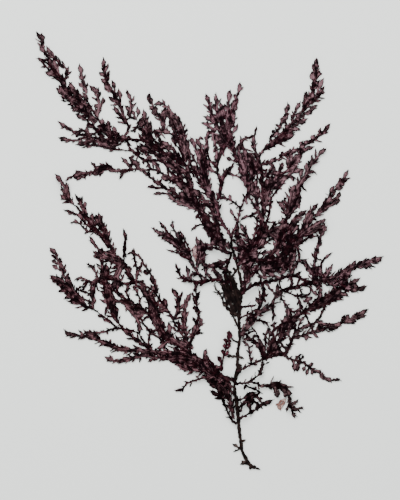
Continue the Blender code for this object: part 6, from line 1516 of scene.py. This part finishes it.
CENTRE_LEFT_MATS = (
    (0, 204, 266, 212, 262, 222, 262, 229, 262, 228, 268, 220, 270, 210, 270, 205, 270),
    (142, 160, 233, 168, 234, 176, 238, 184, 245, 190, 252, 191, 258, 186, 256, 178, 249, 170, 242, 162,
     238),
    (100, 196, 242, 200, 241, 205, 250, 204, 262, 198, 263, 196, 254),
    (175, 202, 262, 212, 264, 222, 262, 230, 257, 229, 263, 220, 268, 208, 269),
)
dress("centre_left_frond", CENTRE_LEFT_STRANDS, mats=CENTRE_LEFT_MATS, seed=24, material=dried_thallus(
    "centre_left_thallus", dark="060002", body="2c0a12", pale="6e545a", redness=0.85))


# The bleached blade: one old ramulus that has lost its pigment, a pale pinkish film beside the axis.
BLEACHED_BLADE_STRANDS = (
    (LENS, 197, 262, 194.5, 257, 193.8, 251, 195.5, 244.5),
    (LENS, 197.5, 261, 196, 256, 196, 250, 197, 245.5),
)
dress("bleached_blade", BLEACHED_BLADE_STRANDS, seed=25, material=dried_thallus(
    "bleached_film", dark="6a4648", body="90686a", pale="b89a9a", redness=0.8))


# The bleached loop: a curled scrap of pale film that lies by the arched frond.
BLEACHED_LOOP_STRANDS = (
    (FINGER, 286, 399, 282, 400.5, 279.3, 403.5, 278.6, 407, 280.5, 410),
    (FINGER, 285, 400, 283.5, 403.5, 281.5, 406, 281.5, 409.5),
)
dress("bleached_loop", BLEACHED_LOOP_STRANDS, seed=26, material=dried_thallus(
    "bleached_scrap", dark="6a4a44", body="94776e", pale="b8a39c", redness=0.8))


# The floor: smooth pale paper-grey, wide enough to fill every view.
FLOOR_HALF = 3.0
FLOOR_CORNERS = ((-1, -1), (1, -1), (1, 1), (-1, 1))
FLOOR_ROUGHNESS = 0.85
floor_mesh = bpy.data.meshes.new("floor")
floor_mesh.from_pydata([(x * FLOOR_HALF, y * FLOOR_HALF, 0) for x, y in FLOOR_CORNERS], [], [(0, 1, 2, 3)])
floor = bpy.data.objects.new("floor", floor_mesh)
bpy.context.scene.collection.objects.link(floor)
floor_paint = bpy.data.materials.new("pale_floor")
floor_paint.use_nodes = True
floor_shader = floor_paint.node_tree.nodes["Principled BSDF"]
floor_shader.inputs["Base Color"].default_value = linear("eaedea")
floor_shader.inputs["Roughness"].default_value = FLOOR_ROUGHNESS
floor_mesh.materials.append(floor_paint)


# The light: a pale sky all round, and one large soft lamp above to the upper left.
SKY_STRENGTH = 1.5
LAMP_SIZE = 0.5
LAMP_POWER = 5.2
LAMP_PLACE = (-0.15, 0.35, 0.5)
sky = bpy.data.worlds.new("soft_sky")
sky.use_nodes = True
sky.node_tree.nodes["Background"].inputs["Color"].default_value = linear("f1f3f2")
sky.node_tree.nodes["Background"].inputs["Strength"].default_value = SKY_STRENGTH
bpy.context.scene.world = sky
lamp_data = bpy.data.lights.new("soft_lamp", "AREA")
lamp_data.shape = "SQUARE"
lamp_data.size = LAMP_SIZE
lamp_data.energy = LAMP_POWER
lamp = bpy.data.objects.new("soft_lamp", lamp_data)
lamp.location = LAMP_PLACE
lamp.rotation_mode = "QUATERNION"
lamp.rotation_quaternion = Vector(LAMP_PLACE).to_track_quat("Z", "Y")
bpy.context.scene.collection.objects.link(lamp)


# The camera: straight above, far away, so that the specimen shows flat as on a copy stand.
FRAME_STEPS = (400, 500)  # width and height of the view, in steps of the routes
LENS_LENGTH, SENSOR = 300.0, 36.0
FARTHEST_SEEN = 10.0
camera_data = bpy.data.cameras.new("copy_stand")
camera_data.lens = LENS_LENGTH
camera_data.sensor_width = SENSOR
camera_data.clip_end = FARTHEST_SEEN
camera = bpy.data.objects.new("copy_stand", camera_data)
camera.location = ((FRAME_STEPS[0] / 2 - GRID_MIDDLE[0]) * GRID_STEP,
                   (GRID_MIDDLE[1] - FRAME_STEPS[1] / 2) * GRID_STEP,
                   FRAME_STEPS[1] * GRID_STEP * LENS_LENGTH / SENSOR)
bpy.context.scene.collection.objects.link(camera)
bpy.context.scene.camera = camera
